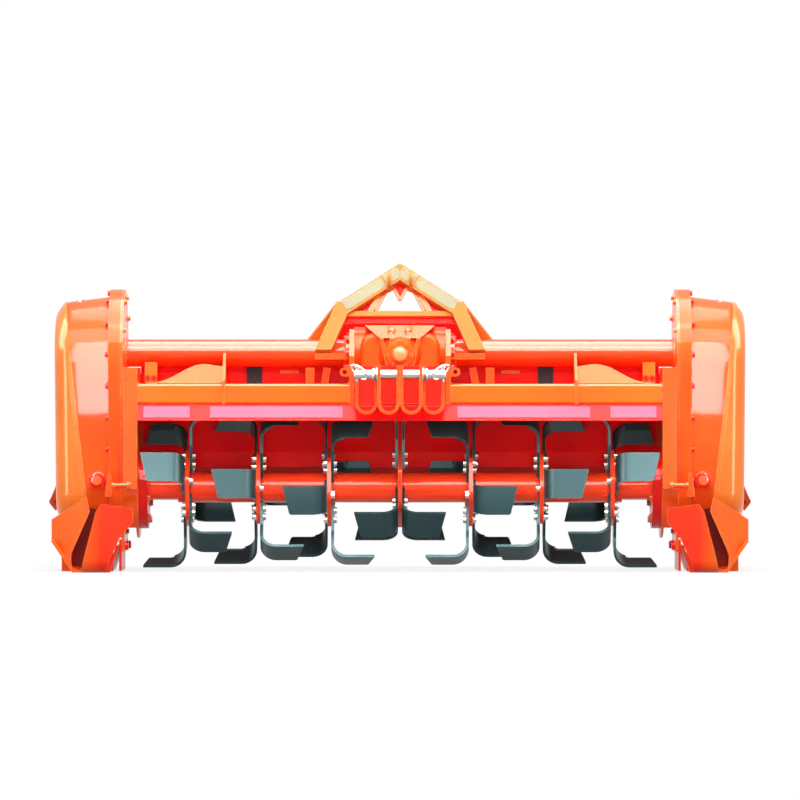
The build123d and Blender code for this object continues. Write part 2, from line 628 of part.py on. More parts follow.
def skid_nose():
    """The inner face, curved up from the sole, and the outer face, swept back like a bow."""
    front = SKID_START - NOSE_REACH
    top = NOSE_OUTER[0][1]
    curve = FilletPolyline(
        (SKID_START + 1, 0), (SKID_START - NOSE_REACH * 0.8, 0), (front, top), radius=2 * NOSE_REACH / 3)
    section = make_face(Wire(curve).offset_2d(SKID_PLATE_T, side=Side.RIGHT, closed=True))
    inner = yz_slab(section, NOSE_INNER[0][0], NOSE_INNER[4][0])
    inner &= xz_slab(outline(*NOSE_INNER), front - 20, SKID_START + 1)
    hinge_x, edge_x = NOSE_OUTER[5][0], NOSE_OUTER[1][0]
    wide = 16 * NOSE_REACH
    sheet = Pos(0.4 * wide, SKID_PLATE_T / 2, 0) * Box(wide, SKID_PLATE_T, wide)
    sheet = Pos(hinge_x, front, 0) * Rot(0, 0, NOSE_SWEEP) * sheet
    outer = sheet & xz_slab(outline(*NOSE_OUTER), front - 20, front + 4 * NOSE_REACH)
    return inner + outer


# ---------------------------------------------------------------- hitch, mast and gearbox
def u_bracket(x0, x1, front):
    """A forged channel with a rounded bottom, open to the front."""
    radius = (x1 - x0) / 2
    middle = (x0 + x1) / 2
    tall = CLEVIS_TOP_Z - CLEVIS_BOTTOM_Z - radius

    def u_shape(inset):
        r = radius - inset
        arch = Pos(middle, CLEVIS_BOTTOM_Z + radius) * Circle(r)
        return arch + Pos(middle, CLEVIS_BOTTOM_Z + radius + tall / 2) * Rectangle(2 * r, tall)

    shell = xz_slab(u_shape(0), front, CLEVIS_BACK)
    shell -= xz_slab(u_shape(CLEVIS_WALL), front - 1, CLEVIS_BACK - CLEVIS_WALL)
    lip_front = -HOOD_SHELF[0] - HOOD_LIP[0] - 2
    shell -= box(x0 - 1, x1 + 1, lip_front, CLEVIS_BACK + 1, 0, HOOD_DECK_Z)
    return shell - x_bar(PIN_R + FIT, PIN_Y, PIN_Z, x0 - 1, x1 + 1)


def link_brackets():
    """The left pair of channels: the one that the pin crosses, and the one set back behind its end."""
    return u_bracket(0.5, CLEVIS_OUT, CLEVIS_FRONT) + u_bracket(CLEVIS_OUT, 2 * CLEVIS_OUT, SECOND_CLEVIS_FRONT)


def hitch_plate():
    """The cross plate between the headstock plates that carries the link brackets."""
    half = TUBE_INNER_END - HEADSTOCK_T
    top = CLEVIS_TOP_Z - 27
    return box(-half, half, CLEVIS_BACK, CLEVIS_BACK + HITCH_PLATE_T, HOOD_DECK_Z, top)


def link_pin():
    """The left lower link pin: held in its bracket, with a collar and a free end for the link's ball."""
    radius, thick = LINK_COLLAR
    pin = x_bar(PIN_R, PIN_Y, PIN_Z, 1, PIN_END)
    pin = chamfer(pin.faces().sort_by(Axis.X)[-1].edges(), 3)
    return pin + x_bar(radius, PIN_Y, PIN_Z, CLEVIS_OUT + FIT, CLEVIS_OUT + FIT + thick)


def leaned(shape):
    """Leans an upright shape back about the line of the mast's feet."""
    pivot = Pos(0, MAST_Y, MAST_FOOT[1])
    return pivot * Rot(-MAST_LEAN, 0, 0) * Pos(0, -MAST_Y, -MAST_FOOT[1]) * shape


def mast_level(share):
    """A height on the mast, from the gearbox's top at 0 to the apex at 1."""
    return GEARBOX_TOP_Z + share * (MAST_APEX_Z - GEARBOX_TOP_Z)


def mast():
    """The five-sided mast with its crossbar, leaning back over the gearbox, and the panel behind it."""
    rise = 1 / cos(radians(MAST_LEAN))

    def height(z):
        return MAST_FOOT[1] + (z - MAST_FOOT[1]) * rise

    foot_x, foot_z = MAST_FOOT
    shoulder = (MAST_SHOULDER[0], height(mast_level(MAST_SHOULDER[1])))
    long_x = foot_x + (foot_x - shoulder[0]) * 3 * MAST_BAR / (shoulder[1] - foot_z)
    long_z = foot_z - 3 * MAST_BAR
    top = [(-shoulder[0], shoulder[1]), (0, height(MAST_APEX_Z)), shoulder]
    outer = outline((-foot_x, foot_z), *top, (foot_x, foot_z))
    inner = offset(outline((-long_x, long_z), *top, (long_x, long_z)), -MAST_BAR, kind=Kind.INTERSECTION)
    bars = xz_slab(outer - inner, MAST_Y, MAST_Y + MAST_T)
    half_bar, bar_low, bar_high = MAST_CROSSBAR
    bar = box(-half_bar, half_bar, MAST_Y + MAST_T / 2, MAST_Y + MAST_T,
              height(mast_level(bar_low)), height(mast_level(bar_high)))
    half = outline(*[(x, height(mast_level(share))) for x, share in MAST_WINDOW])
    window = half + mirror(half, about=Plane.YZ)
    below = Pos(0, height(mast_level(MAST_PANEL_FOOT)) - MAST_APEX_Z / 2) * Rectangle(4 * foot_x, MAST_APEX_Z)
    panel = offset(outer, -0.85 * MAST_BAR, kind=Kind.INTERSECTION) - window - below
    panel = xz_slab(panel, MAST_Y + MAST_T, MAST_Y + MAST_T + MAST_PANEL_T)
    return leaned(bars + bar), leaned(panel)


def mast_back():
    """The upright plate on the rear beam behind the gearbox."""
    low_half, top_half, share = MAST_BACK
    low, top = HOOD_CREST_Z + REAR_BEAM_H, mast_level(share)
    knee = low + 0.57 * (top - low)
    half = [(low_half, low), (low_half - 4, knee), (top_half, top), (0, top), (0, low)]
    face = outline(*half) + outline(*[(-x, z) for x, z in half])
    front = BEAM_FRONT + REAR_BEAM / 2
    return xz_slab(face, front, front + MAST_PANEL_T)


def mast_stay():
    """The left flat stay from the mast's shoulder down to the rear beam."""
    top_x, behind, share = STAY_TOP
    top_z = mast_level(share)
    top_y = MAST_Y + (top_z - MAST_FOOT[1]) * tan(radians(MAST_LEAN)) + MAST_T / cos(radians(MAST_LEAN)) + behind
    top, foot = Vector(top_x, top_y, top_z), Vector(*STAY_FOOT)
    run = top - foot
    side = Vector(1, 0, 0) - run * (run.X / run.dot(run))
    into = MAST_T / 2
    middle = Plane(origin=(top + foot) / 2, x_dir=side, z_dir=run)
    bar = middle * Pos(0, 0, into / 2) * Box(*STAY_BAR, run.length + into)
    beam_top = HOOD_CREST_Z + REAR_BEAM_H
    width, thick = STAY_BAR
    bar -= box(foot.X - 2 * width, foot.X + 2 * width, BEAM_FRONT - width, BEAM_FRONT + 2 * REAR_BEAM,
               HOOD_CREST_Z, beam_top)
    pad = box(foot.X - 0.8 * width, foot.X + 0.8 * width, BEAM_FRONT + 5, BEAM_FRONT + REAR_BEAM - 5,
              beam_top, beam_top + 0.8 * thick)
    return bar + pad


def top_link_point():
    """The top link bore's axis on the upright mast, in (y, z)."""
    height = (MAST_APEX_Z - TOP_LINK_DROP - MAST_FOOT[1]) / cos(radians(MAST_LEAN))
    return MAST_Y - TOP_LINK_AHEAD, MAST_FOOT[1] + height


def top_link_clevis():
    """Two cheeks ahead of the apex, bored for the tractor's top link."""
    y, z = top_link_point()
    cheeks = None
    for side in (-1, 1):
        x0 = side * TOP_LINK_GAP / 2
        x1 = side * (TOP_LINK_GAP / 2 + TOP_LINK_CHEEK)
        shape = make_hull([*(Pos(y, z) * Circle(2 * TOP_LINK_R)).edges(),
                           *(Pos(MAST_Y, z) * Rectangle(8, 4 * TOP_LINK_R - 4)).edges()])
        cheek = yz_slab(shape, min(x0, x1), max(x0, x1))
        cheek -= x_bar(TOP_LINK_R, y, z, min(x0, x1) - 1, max(x0, x1) + 1)
        cheeks = cheek if cheeks is None else cheeks + cheek
    return leaned(cheeks)


def headstock():
    """The left headstock plate, from the front shelf up to the mast's foot and the top tube."""
    x0, x1 = TUBE_INNER_END - HEADSTOCK_T, TUBE_INNER_END
    low, high = HEADSTOCK_TOP
    face = outline(
        (CLEVIS_BACK, HOOD_DECK_Z), (CLEVIS_BACK, low), (MAST_Y + 6, high), (BEAM_FRONT - 10, high),
        (BEAM_FRONT, HOOD_CREST_Z + 60), (BEAM_FRONT, HOOD_CREST_Z), (HOOD_CREST[0] - 6, HOOD_CREST_Z),
        (-HOOD_SHELF[1] - 6, HOOD_DECK_Z))
    plate = yz_slab(face, x0, x1)
    foot_top = MAST_FOOT[1] - MAST_T * sin(radians(MAST_LEAN)) - 1
    deep, thick = MAST_SHOE
    foot = box(TUBE_INNER_END, MAST_FOOT[0], MAST_Y, MAST_Y + deep, foot_top - thick, foot_top)
    long, tall, rise, hole = HEADSTOCK_EAR
    ear_z = HOOD_DECK_Z + rise
    ear = Pos(TUBE_INNER_END + 0.2 * long, ear_z) * RectangleRounded(long, tall, 0.46 * tall)
    ear -= Pos(TUBE_INNER_END + 0.35 * long, ear_z) * Circle(hole)
    return plate + foot + xz_slab(ear, CLEVIS_BACK, CLEVIS_BACK + HITCH_PLATE_T)


def gearbox():
    """The gearbox casting: a rounded body, round side flanges, a ribbed nose and a top cover."""
    face = GEARBOX_FRONT + 34
    top = GEARBOX_TOP_Z - 22
    body = box(-GEARBOX_HALF_W, GEARBOX_HALF_W, face, GEARBOX_BACK, GEARBOX_BOTTOM_Z, top)
    body = fillet(body.edges().filter_by(Axis.Y).group_by(Axis.Z)[-1], GEARBOX_ROUND)
    body = fillet(body.edges().filter_by(Axis.Y).group_by(Axis.Z)[0], 16)
    body = fillet(body.faces().sort_by(Axis.Y)[0].edges(), 15)
    for side in (-1, 1):
        ends = sorted((side * (GEARBOX_HALF_W - 24), side * (TUBE_INNER_END - HEADSTOCK_T)))
        body += x_bar(GEARBOX_SHOULDER_R, TOP_TUBE_Y, TOP_TUBE_Z, *ends)
    wide = Plane.XZ.offset(-GEARBOX_FRONT - 50) * Pos(0, INPUT_Z) * Circle(1.3 * GEARBOX_NOSE_R)
    narrow = Plane.XZ.offset(-GEARBOX_FRONT + GEARBOX_NOSE) * Pos(0, INPUT_Z) * Circle(0.72 * GEARBOX_NOSE_R)
    body += loft([wide, narrow])
    top_half, low_half, tall = GEARBOX_HOOD
    low_mid, top_mid = (GEARBOX_FRONT - 10) / 2, (GEARBOX_FRONT + 40) / 2
    low = Plane.XY.offset(GEARBOX_TOP_Z - tall) * Pos(0, low_mid) * Rectangle(2 * low_half, -GEARBOX_FRONT - 24)
    high = Plane.XY.offset(GEARBOX_TOP_Z) * Pos(0, top_mid) * Rectangle(2 * top_half, -GEARBOX_FRONT - 60)
    body += loft([low, high])
    for top_x, low_x in GEARBOX_RIBS:
        half = GEARBOX_RIB_T / 2
        rib = outline((top_x - half, top), (top_x + half, top), (low_x + half, GEARBOX_BOTTOM_Z + 40),
                      (low_x - half, GEARBOX_BOTTOM_Z + 40))
        rib = xz_slab(rib, GEARBOX_FRONT - 4, face + 20)
        rib -= Pos(0, GEARBOX_FRONT - 4, top + 6) * Rot(45, 0, 0) * Box(4 * GEARBOX_HALF_W, 34, 34)
        body += rib
        body += other_side(rib)
    bore = Plane.XZ.offset(-GEARBOX_FRONT + GEARBOX_NOSE + 1) * Pos(0, INPUT_Z) * Circle(INPUT_JOURNAL_R + FIT)
    return body - extrude(bore, amount=-80)


def input_shaft():
    """The power take-off shaft: a plain journal in the casting and a splined end ahead of it."""
    mouth = -GEARBOX_FRONT + GEARBOX_NOSE
    shaft = extrude(Plane.XZ.offset(mouth) * Pos(0, INPUT_Z) * Circle(INPUT_JOURNAL_R), amount=-60)
    spline = Circle(INPUT_ROOT_R)
    for tooth in range(INPUT_SPLINES):
        key = Pos(INPUT_R / 2, 0) * Rectangle(INPUT_R, INPUT_SPLINE_W)
        spline += Rot(0, 0, tooth * 360 / INPUT_SPLINES) * key
    spline &= Circle(INPUT_R)
    end = extrude(Plane.XZ.offset(mouth) * Pos(0, INPUT_Z) * spline, amount=INPUT_REACH - GEARBOX_NOSE)
    return shaft + end


def tube_lug():
    """The left upright lug on the square tube, beside the side plate."""
    start, end, height = LUG
    front = SQUARE_TUBE_Y - 8
    top = HOOD_DECK_Z + SQUARE_TUBE
    return box(start, end, front, front + 12, top, top + height)


def tube_gusset():
    """The left upright gusset that joins the square tube to the top tube."""
    front = SQUARE_TUBE_Y - SQUARE_TUBE / 2 - GUSSET_T
    face = outline(
        (front, HOOD_DECK_Z), (front, SQUARE_TUBE_Z + 40), (TOP_TUBE_Y - 46, TOP_TUBE_Z),
        (TOP_TUBE_Y, TOP_TUBE_Z), (TOP_TUBE_Y + 20, HOOD_CREST_Z), (HOOD_CREST[0] - 6, HOOD_CREST_Z),
        (-HOOD_SHELF[1] - 6, HOOD_DECK_Z))
    plate = yz_slab(face, GUSSET_X - GUSSET_T / 2, GUSSET_X + GUSSET_T / 2)
    plate -= x_bar(TOP_TUBE_R, TOP_TUBE_Y, TOP_TUBE_Z, GUSSET_X - GUSSET_T, GUSSET_X + GUSSET_T)
    half = SQUARE_TUBE / 2
    return plate - box(GUSSET_X - GUSSET_T, GUSSET_X + GUSSET_T, SQUARE_TUBE_Y - half, SQUARE_TUBE_Y + half,
                       SQUARE_TUBE_Z - half, SQUARE_TUBE_Z + half)


def hump_panel():
    """The humped panel between the gusset and the side plate, leaning back off the square tube."""
    x0 = GUSSET_X + GUSSET_T / 2
    x1 = x0 + HUMP_LENGTH
    crown_x = x0 + 30
    face = make_face([
        Line((x0, 0), (x1, 0)), Line((x1, 0), (x1, 4)),
        Spline((x1, 4), (x1 - 60, 14), (crown_x + 60, HUMP_RISE - 4), (crown_x, HUMP_RISE)),
        Line((crown_x, HUMP_RISE), (x0, HUMP_RISE - 4)), Line((x0, HUMP_RISE - 4), (x0, 0)),
    ])
    panel = xz_slab(face, 0, HUMP_T)
    seat = HOOD_DECK_Z + SQUARE_TUBE + HUMP_T * sin(radians(HUMP_LEAN))
    return Pos(0, SQUARE_TUBE_Y + 8, seat) * Rot(-HUMP_LEAN, 0, 0) * panel


# ---------------------------------------------------------------- the machine
def machine():
    """Every node by name, about the rotor axis."""
    nodes = {"hood": hood(), "rear_beam": rear_beam(), "rotor_tube": rotor_tube()}
    nodes["hinge_rod"] = x_bar(HINGE_R, HINGE_Y, HINGE_Z, -SIDE_IN + 8, SIDE_IN - 8)
    nodes.update(blade_gangs())
    housing, cover = casing_parts()
    handed = {
        "side_plate": side_plate() + casing_plate(),
        "bearing_hub": bearing_hub(),
        "tube_gusset": tube_gusset() + hump_panel(),
        "drive_casing": housing,
        "casing_cover": cover,
        "top_tube": top_tube(),
        "square_tube": square_tube(),
        "skid": skid(),
        "stay_rod": stay_rod(),
        "stay_spring": stay_spring(),
        "rod_guide": rod_guide(),
        "headstock_plate": headstock(),
        "link_bracket": link_brackets(),
        "link_pin": link_pin(),
    }
    for name, shape in handed.items():
        nodes[f"{name}_left"] = shape
        nodes[f"{name}_right"] = other_side(shape)
    nodes["trailing_board"] = trailing_board()
    frame, panel = mast()
    stay = mast_stay() - frame - panel
    nodes["mast"] = frame + stay + other_side(stay) + top_link_clevis()
    nodes["mast_panel"] = panel + mast_back()
    nodes["hitch_plate"] = hitch_plate()
    nodes["gearbox"] = gearbox()
    nodes["input_shaft"] = input_shaft()
    return nodes


nodes = machine()
boxes = [shape.bounding_box() for shape in nodes.values()]
origin_shift = -(min(b.min.Y for b in boxes) + max(b.max.Y for b in boxes)) / 2
print("shift", round(origin_shift, 3))
print("size", [round(v, 2) for v in (
    min(b.min.X for b in boxes), max(b.max.X for b in boxes),
    min(b.min.Y for b in boxes) + origin_shift, max(b.max.Y for b in boxes) + origin_shift,
    min(b.min.Z for b in boxes), max(b.max.Z for b in boxes))])

os.makedirs("parts", exist_ok=True)
for name, shape in nodes.items():
    export_step(Pos(0, origin_shift, 0) * shape, f"parts/{name}.step")
print(len(nodes), "nodes; rod foot", rod_foot(), "guide", GUIDE)
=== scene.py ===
# %% [markdown]
# # Dressing a rotavator
# A rotavator is a rotary tiller that a tractor carries on its three-point linkage. A shaft
# with L-shaped blades turns under a folded hood, a drive casing stands at each end,
# and a mast in the middle carries the top link. The CAD model already has every main form.
# This notebook loads it, gives each part its finish, and adds the small things that make a
# machine look made and used: bolts, weld beads, coil springs, pins and plates.

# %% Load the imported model
import json
from math import cos, pi, radians, sin

import bpy
import numpy as np
from mathutils import Matrix


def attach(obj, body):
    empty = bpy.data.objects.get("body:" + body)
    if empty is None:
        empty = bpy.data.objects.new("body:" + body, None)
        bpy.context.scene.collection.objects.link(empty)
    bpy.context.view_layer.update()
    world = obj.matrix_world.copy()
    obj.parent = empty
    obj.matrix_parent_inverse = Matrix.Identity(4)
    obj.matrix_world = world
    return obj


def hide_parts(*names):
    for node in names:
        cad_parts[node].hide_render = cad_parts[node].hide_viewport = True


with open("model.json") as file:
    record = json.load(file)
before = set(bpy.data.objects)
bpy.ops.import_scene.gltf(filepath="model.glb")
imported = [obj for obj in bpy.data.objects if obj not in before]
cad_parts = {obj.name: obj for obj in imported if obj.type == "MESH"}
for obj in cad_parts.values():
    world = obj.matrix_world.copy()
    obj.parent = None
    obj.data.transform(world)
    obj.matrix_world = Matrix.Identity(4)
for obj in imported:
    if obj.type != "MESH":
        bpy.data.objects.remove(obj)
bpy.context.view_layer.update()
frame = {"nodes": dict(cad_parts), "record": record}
nodes = frame["nodes"]

# %% [markdown]
# ## Helpers for surfaces
# Every new piece is a surface worked out as whole arrays. A grid of points has two
# parameters, one along its rows and one along its columns, and neighbours on the grid are
# joined into quads. Working on arrays keeps each shape a short formula, and the same few
# helpers then serve bolts, springs, beads and plates alike.

# %% Faces of a grid, and a turned solid
def grid_faces(rows, columns, close_rows=False, close_columns=False):
    """Quads between neighbours of a grid numbered row by row; a closed direction wraps round."""
    r = np.arange(rows if close_rows else rows - 1)
    c = np.arange(columns if close_columns else columns - 1)
    r, c = np.meshgrid(r, c, indexing="ij")
    r2, c2 = (r + 1) % rows, (c + 1) % columns
    corners = [r * columns + c, r * columns + c2, r2 * columns + c2, r2 * columns + c]
    return np.stack(corners, axis=-1).reshape(-1, 4)


def capped_faces(rows, columns):
    """A closed skin: quads round every row, and one flat face over the first and the last row."""
    quads = [tuple(quad) for quad in grid_faces(rows, columns, close_columns=True)]
    last = (rows - 1) * columns
    return quads + [tuple(range(columns))[::-1], tuple(range(last, last + columns))]


def lathe(profile, around=32):
    """A turned solid: each (radius, height) swept round Z by radius times cos and sin."""
    profile = np.asarray(profile, float)
    angle = np.arange(around) * 2 * pi / around
    radius, height = profile[:, :1], profile[:, 1:]
    grid = np.stack([radius * np.cos(angle), radius * np.sin(angle), height + 0 * angle], axis=-1)
    return grid.reshape(-1, 3), capped_faces(len(profile), around)


print("a plain disc has", len(lathe([(0.01, 0), (0.01, 0.002)])[1]), "faces")


# %% Turning, placing and joining
def axes_along(direction):
    """A turning matrix whose Z runs along the direction and whose X stays level where it can."""
    z = np.asarray(direction, float)
    z = z / np.linalg.norm(z)
    up = np.array([0.0, 0.0, 1.0]) if abs(z[2]) <= 0.95 else np.array([1.0, 0.0, 0.0])
    x = np.cross(up, z)
    x /= np.linalg.norm(x)
    return np.stack([x, np.cross(z, x), z], axis=1)


def placed(part, at, along=(0, 0, 1), turn=0.0):
    """A part turned about its own Z, then stood on a point with its Z along a direction."""
    points, faces = part
    c, s = cos(turn), sin(turn)
    spin = np.array([[c, -s, 0], [s, c, 0], [0, 0, 1]])
    return points @ (axes_along(along) @ spin).T + np.asarray(at, float), faces


def join(parts):
    """Several parts as one, each part's face numbers moved past the points before it."""
    points, faces, start = [], [], 0
    for part_points, part_faces in parts:
        points.append(part_points)
        faces += [tuple(int(i) + start for i in face) for face in part_faces]
        start += len(part_points)
    return np.concatenate(points), faces


def both_sides(part):
    """The part and its mirror image: X changes sign and each face turns round."""
    points, faces = part
    return join([part, (points * [-1, 1, 1], [tuple(face)[::-1] for face in faces])])


def add_piece(name, part, material, body="root", smooth=30.0, replaces=()):
    """Makes the mesh object, smooths it below an angle, and lets it ride on its body."""
    points, faces = part
    mesh = bpy.data.meshes.new(name)
    mesh.from_pydata(points.tolist(), [], [list(map(int, face)) for face in faces])
    mesh.validate()
    mesh.update()
    mesh.materials.append(material)
    piece = bpy.data.objects.new(name, mesh)
    bpy.context.scene.collection.objects.link(piece)
    mesh.polygons.foreach_set("use_smooth", np.ones(len(mesh.polygons), bool))
    mesh.set_sharp_from_angle(angle=radians(smooth))
    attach(piece, body)
    if replaces:
        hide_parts(*replaces)
    return piece


print("helpers ready")

# %% [markdown]
# ## What sprayed paint does
# The whole machine is sprayed in one thick glossy enamel. Sprayed paint is never quite
# flat: it dries with a fine orange peel, its tone drifts a little from coat to coat, and it
# thins to a lighter edge where sheet is folded or cut. That lighter edge is also painted
# highlight, standing in for the light that rounded edges catch. Each of those effects is a
# node group built once, so that every paint on the machine can use it with its own values. A
# painted image could show the same, but it would need a map for every part.

# %% Small steps that every material is made of
def feed(tree, node, sockets):
    """Gives each socket a value, or links it to the output that stands in the value's place."""
    for name, value in sockets.items():
        if isinstance(value, bpy.types.NodeSocket):
            tree.links.new(value, node.inputs[name])
        else:
            node.inputs[name].default_value = value


def add_node(tree, kind, sockets=None, **settings):
    """A shader node; its settings come first, because they decide which sockets it has."""
    node = tree.nodes.new("ShaderNode" + kind)
    for name, value in settings.items():
        setattr(node, name, value)
    feed(tree, node, sockets or {})
    return node


def arithmetic(tree, operation, *terms):
    """One step of arithmetic on numbers or outputs."""
    return add_node(tree, "Math", dict(enumerate(terms)), operation=operation).outputs[0]


def mixed(tree, share, first, second):
    """A colour between two, by a share from 0 to 1."""
    blend = add_node(tree, "Mix", {"Factor": share, "A": first, "B": second}, data_type="RGBA")
    return blend.outputs["Result"]


def ramp(tree, source, low, high, start=0.0, end=1.0):
    """Spreads the values from low to high over start to end, and holds them there beyond."""
    sockets = {"Value": source, "From Min": low, "From Max": high, "To Min": start, "To Max": end}
    return add_node(tree, "MapRange", sockets).outputs["Result"]


def noise(tree, scale, detail=2.0, rough=0.5):
    """Noise on Object coordinates, in waves per metre."""
    where = add_node(tree, "TexCoord").outputs["Object"]
    sockets = {"Vector": where, "Scale": scale, "Detail": detail, "Roughness": rough}
    return add_node(tree, "TexNoise", sockets).outputs["Fac"]


def new_group(name, inputs, outputs):
    """An empty shader group with named sockets, given as (name, kind) and a default for inputs."""
    group = bpy.data.node_groups.new(name, "ShaderNodeTree")
    for label, kind, value in inputs:
        socket = group.interface.new_socket(label, in_out="INPUT", socket_type="NodeSocket" + kind)
        socket.default_value = value
    for label, kind in outputs:
        group.interface.new_socket(label, in_out="OUTPUT", socket_type="NodeSocket" + kind)
    return group, group.nodes.new("NodeGroupInput"), group.nodes.new("NodeGroupOutput")


print("node helpers ready")


# %% Tone that drifts, and lighter edges of thin paint and painted highlight
def tone_group():
    """Colour between two tones by slow noise, lighter where a bevelled normal leaves the face's:
    thin paint and painted highlight.
    """
    group, start, end = new_group(
        "sprayed_tone",
        [("Tone", "Color", (0.9, 0.1, 0.01, 1)), ("Second", "Color", (0.8, 0.05, 0.01, 1)),
         ("Edge", "Color", (1, 0.3, 0.1, 1)), ("Edge amount", "Float", 0.5)],
        [("Color", "Color")])
    drift = ramp(group, noise(group, 3.5, 3), 0.35, 0.68)
    body = mixed(group, drift, start.outputs["Tone"], start.outputs["Second"])
    # Painted highlight: edges are lightened where rounded edges would catch light, on top of the
    # thinner paint there.
    bevel = add_node(group, "Bevel", {"Radius": 0.004}, samples=4)
    surface = add_node(group, "NewGeometry")
    agree = add_node(group, "VectorMath", {0: bevel.outputs["Normal"],
                                           1: surface.outputs["True Normal"]},
                     operation="DOT_PRODUCT")
    corner = ramp(group, agree.outputs["Value"], 0.98, 0.80)
    patchy = ramp(group, noise(group, 55, 3, 0.6), 0.38, 0.62)
    edge_wear_and_highlight = arithmetic(group, "MULTIPLY", corner, patchy)
    edge_wear_and_highlight = arithmetic(group, "MULTIPLY", edge_wear_and_highlight, start.outputs["Edge amount"])
    feed(group, end, {"Color": mixed(group, edge_wear_and_highlight, body, start.outputs["Edge"])})
    return group


sprayed_tone = tone_group()
print(sprayed_tone.name, "has", len(sprayed_tone.nodes), "nodes")


# %% Orange peel
def peel_group():
    """Height of the peel, fine noise over a slower sag, and a gloss that varies in clouds."""
    group, start, end = new_group(
        "orange_peel", [("Gloss", "Float", 0.2), ("Spread", "Float", 0.1)],
        [("Height", "Float"), ("Roughness", "Float")])
    sag_share = 2.5
    height = arithmetic(group, "MULTIPLY_ADD", noise(group, 38), sag_share, noise(group, 420))
    cloud = ramp(group, noise(group, 9, 4, 0.6), 0.3, 0.7)
    rough = arithmetic(group, "MULTIPLY_ADD", cloud, start.outputs["Spread"],
                       start.outputs["Gloss"])
    feed(group, end, {"Height": height, "Roughness": rough})
    return group


orange_peel = peel_group()
print(orange_peel.name, "has", len(orange_peel.nodes), "nodes")

# %% [markdown]
# ## The finishes
# Each finish is one Principled shader with the two groups in front of it. Enamel is a
# coloured layer under a thin clear coat. Its own reflection is tinted with the paint's
# colour and only the thin coat reflects white, because a full white gloss would lay a pale
# veil over a bright red. The parts don't all get one orange: each kind of part has a tone
# of its own. The lighter, yellower tones of the mast and the gussets are painted highlight
# for the sky that their upward faces reflect, and the covers' golden tone is partly their
# paint and partly painted highlight.

# %% Paint and plating
PEEL_DEPTH = 0.0004


def finish(name, tone, second, edge, edge_amount, gloss, spread, bump, metallic=0.0,
           coat=0.0, coat_rough=0.05, specular=0.5, tint=(1, 1, 1)):
    """A sprayed or plated surface: the tone group for colour, the peel group for gloss and bump."""
    material = bpy.data.materials.new(name)
    material.use_nodes = True
    tree = material.node_tree
    colour = add_node(tree, "Group", node_tree=sprayed_tone)
    feed(tree, colour, {"Tone": (*tone, 1), "Second": (*second, 1), "Edge": (*edge, 1),
                        "Edge amount": edge_amount})
    skin = add_node(tree, "Group", node_tree=orange_peel)
    feed(tree, skin, {"Gloss": gloss, "Spread": spread})
    lift = add_node(tree, "Bump", {"Strength": bump, "Distance": PEEL_DEPTH,
                                   "Height": skin.outputs["Height"]})
    feed(tree, tree.nodes["Principled BSDF"],
         {"Base Color": colour.outputs["Color"], "Roughness": skin.outputs["Roughness"],
          "Normal": lift.outputs["Normal"], "Metallic": metallic,
          "Coat Weight": coat, "Coat Roughness": coat_rough,
          "Specular IOR Level": specular, "Specular Tint": (*tint, 1)})
    return material


def enamel(name, tone, second, edge=(1.0, 0.46, 0.18), edge_amount=0.7, gloss=0.30, bump=0.10,
           coat=0.35, specular=0.30, tint=(1, 0.35, 0.12)):
    """The machine's enamel in one tone: a tinted body under a thin, sharp clear coat."""
    return finish(name, tone, second, edge, edge_amount, gloss, 0.12, bump, coat=coat,
                  coat_rough=0.06, specular=specular, tint=tint)


orange_enamel = enamel("orange_enamel", (0.94, 0.115, 0.008), (0.92, 0.085, 0.006))
amber_enamel = enamel("amber_enamel", (0.94, 0.170, 0.006), (0.94, 0.140, 0.006))
# Painted highlight: the mast's lighter golden tone stands in for the sky that its leaning face
# reflects.
golden_painted_highlight = enamel("golden_painted_highlight", (0.66, 0.235, 0.034), (0.64, 0.20, 0.030),
                       edge=(1.0, 0.60, 0.30), coat=0.06, specular=0.10)
# Painted highlight: the gussets' yellower tone stands in for the sky reflected on their upward
# faces.
gusset_painted_highlight = enamel("gusset_painted_highlight", (0.92, 0.20, 0.030), (0.90, 0.16, 0.024),
                       coat=0.10, specular=0.08)
bracket_enamel = enamel("bracket_enamel", (0.94, 0.125, 0.010), (0.92, 0.090, 0.008), coat=0.25)
# Partly painted highlight: the covers' golden tone is their orange paint lightened for the
# highlights they catch.
cover_enamel_and_highlight = enamel("cover_enamel_and_highlight", (0.94, 0.235, 0.030), (0.93, 0.190, 0.022),
                      edge=(1.0, 0.66, 0.30))
cast_enamel = enamel("cast_enamel", (0.94, 0.120, 0.009), (0.90, 0.075, 0.006),
                     gloss=0.36, bump=0.32, coat=0.16, specular=0.18)
tube_enamel = enamel("tube_enamel", (0.94, 0.060, 0.006), (0.92, 0.045, 0.005), coat=0.45)
skid_enamel = enamel("skid_enamel", (0.94, 0.130, 0.009), (0.92, 0.100, 0.007), coat=0.15)
print("orange finishes made")

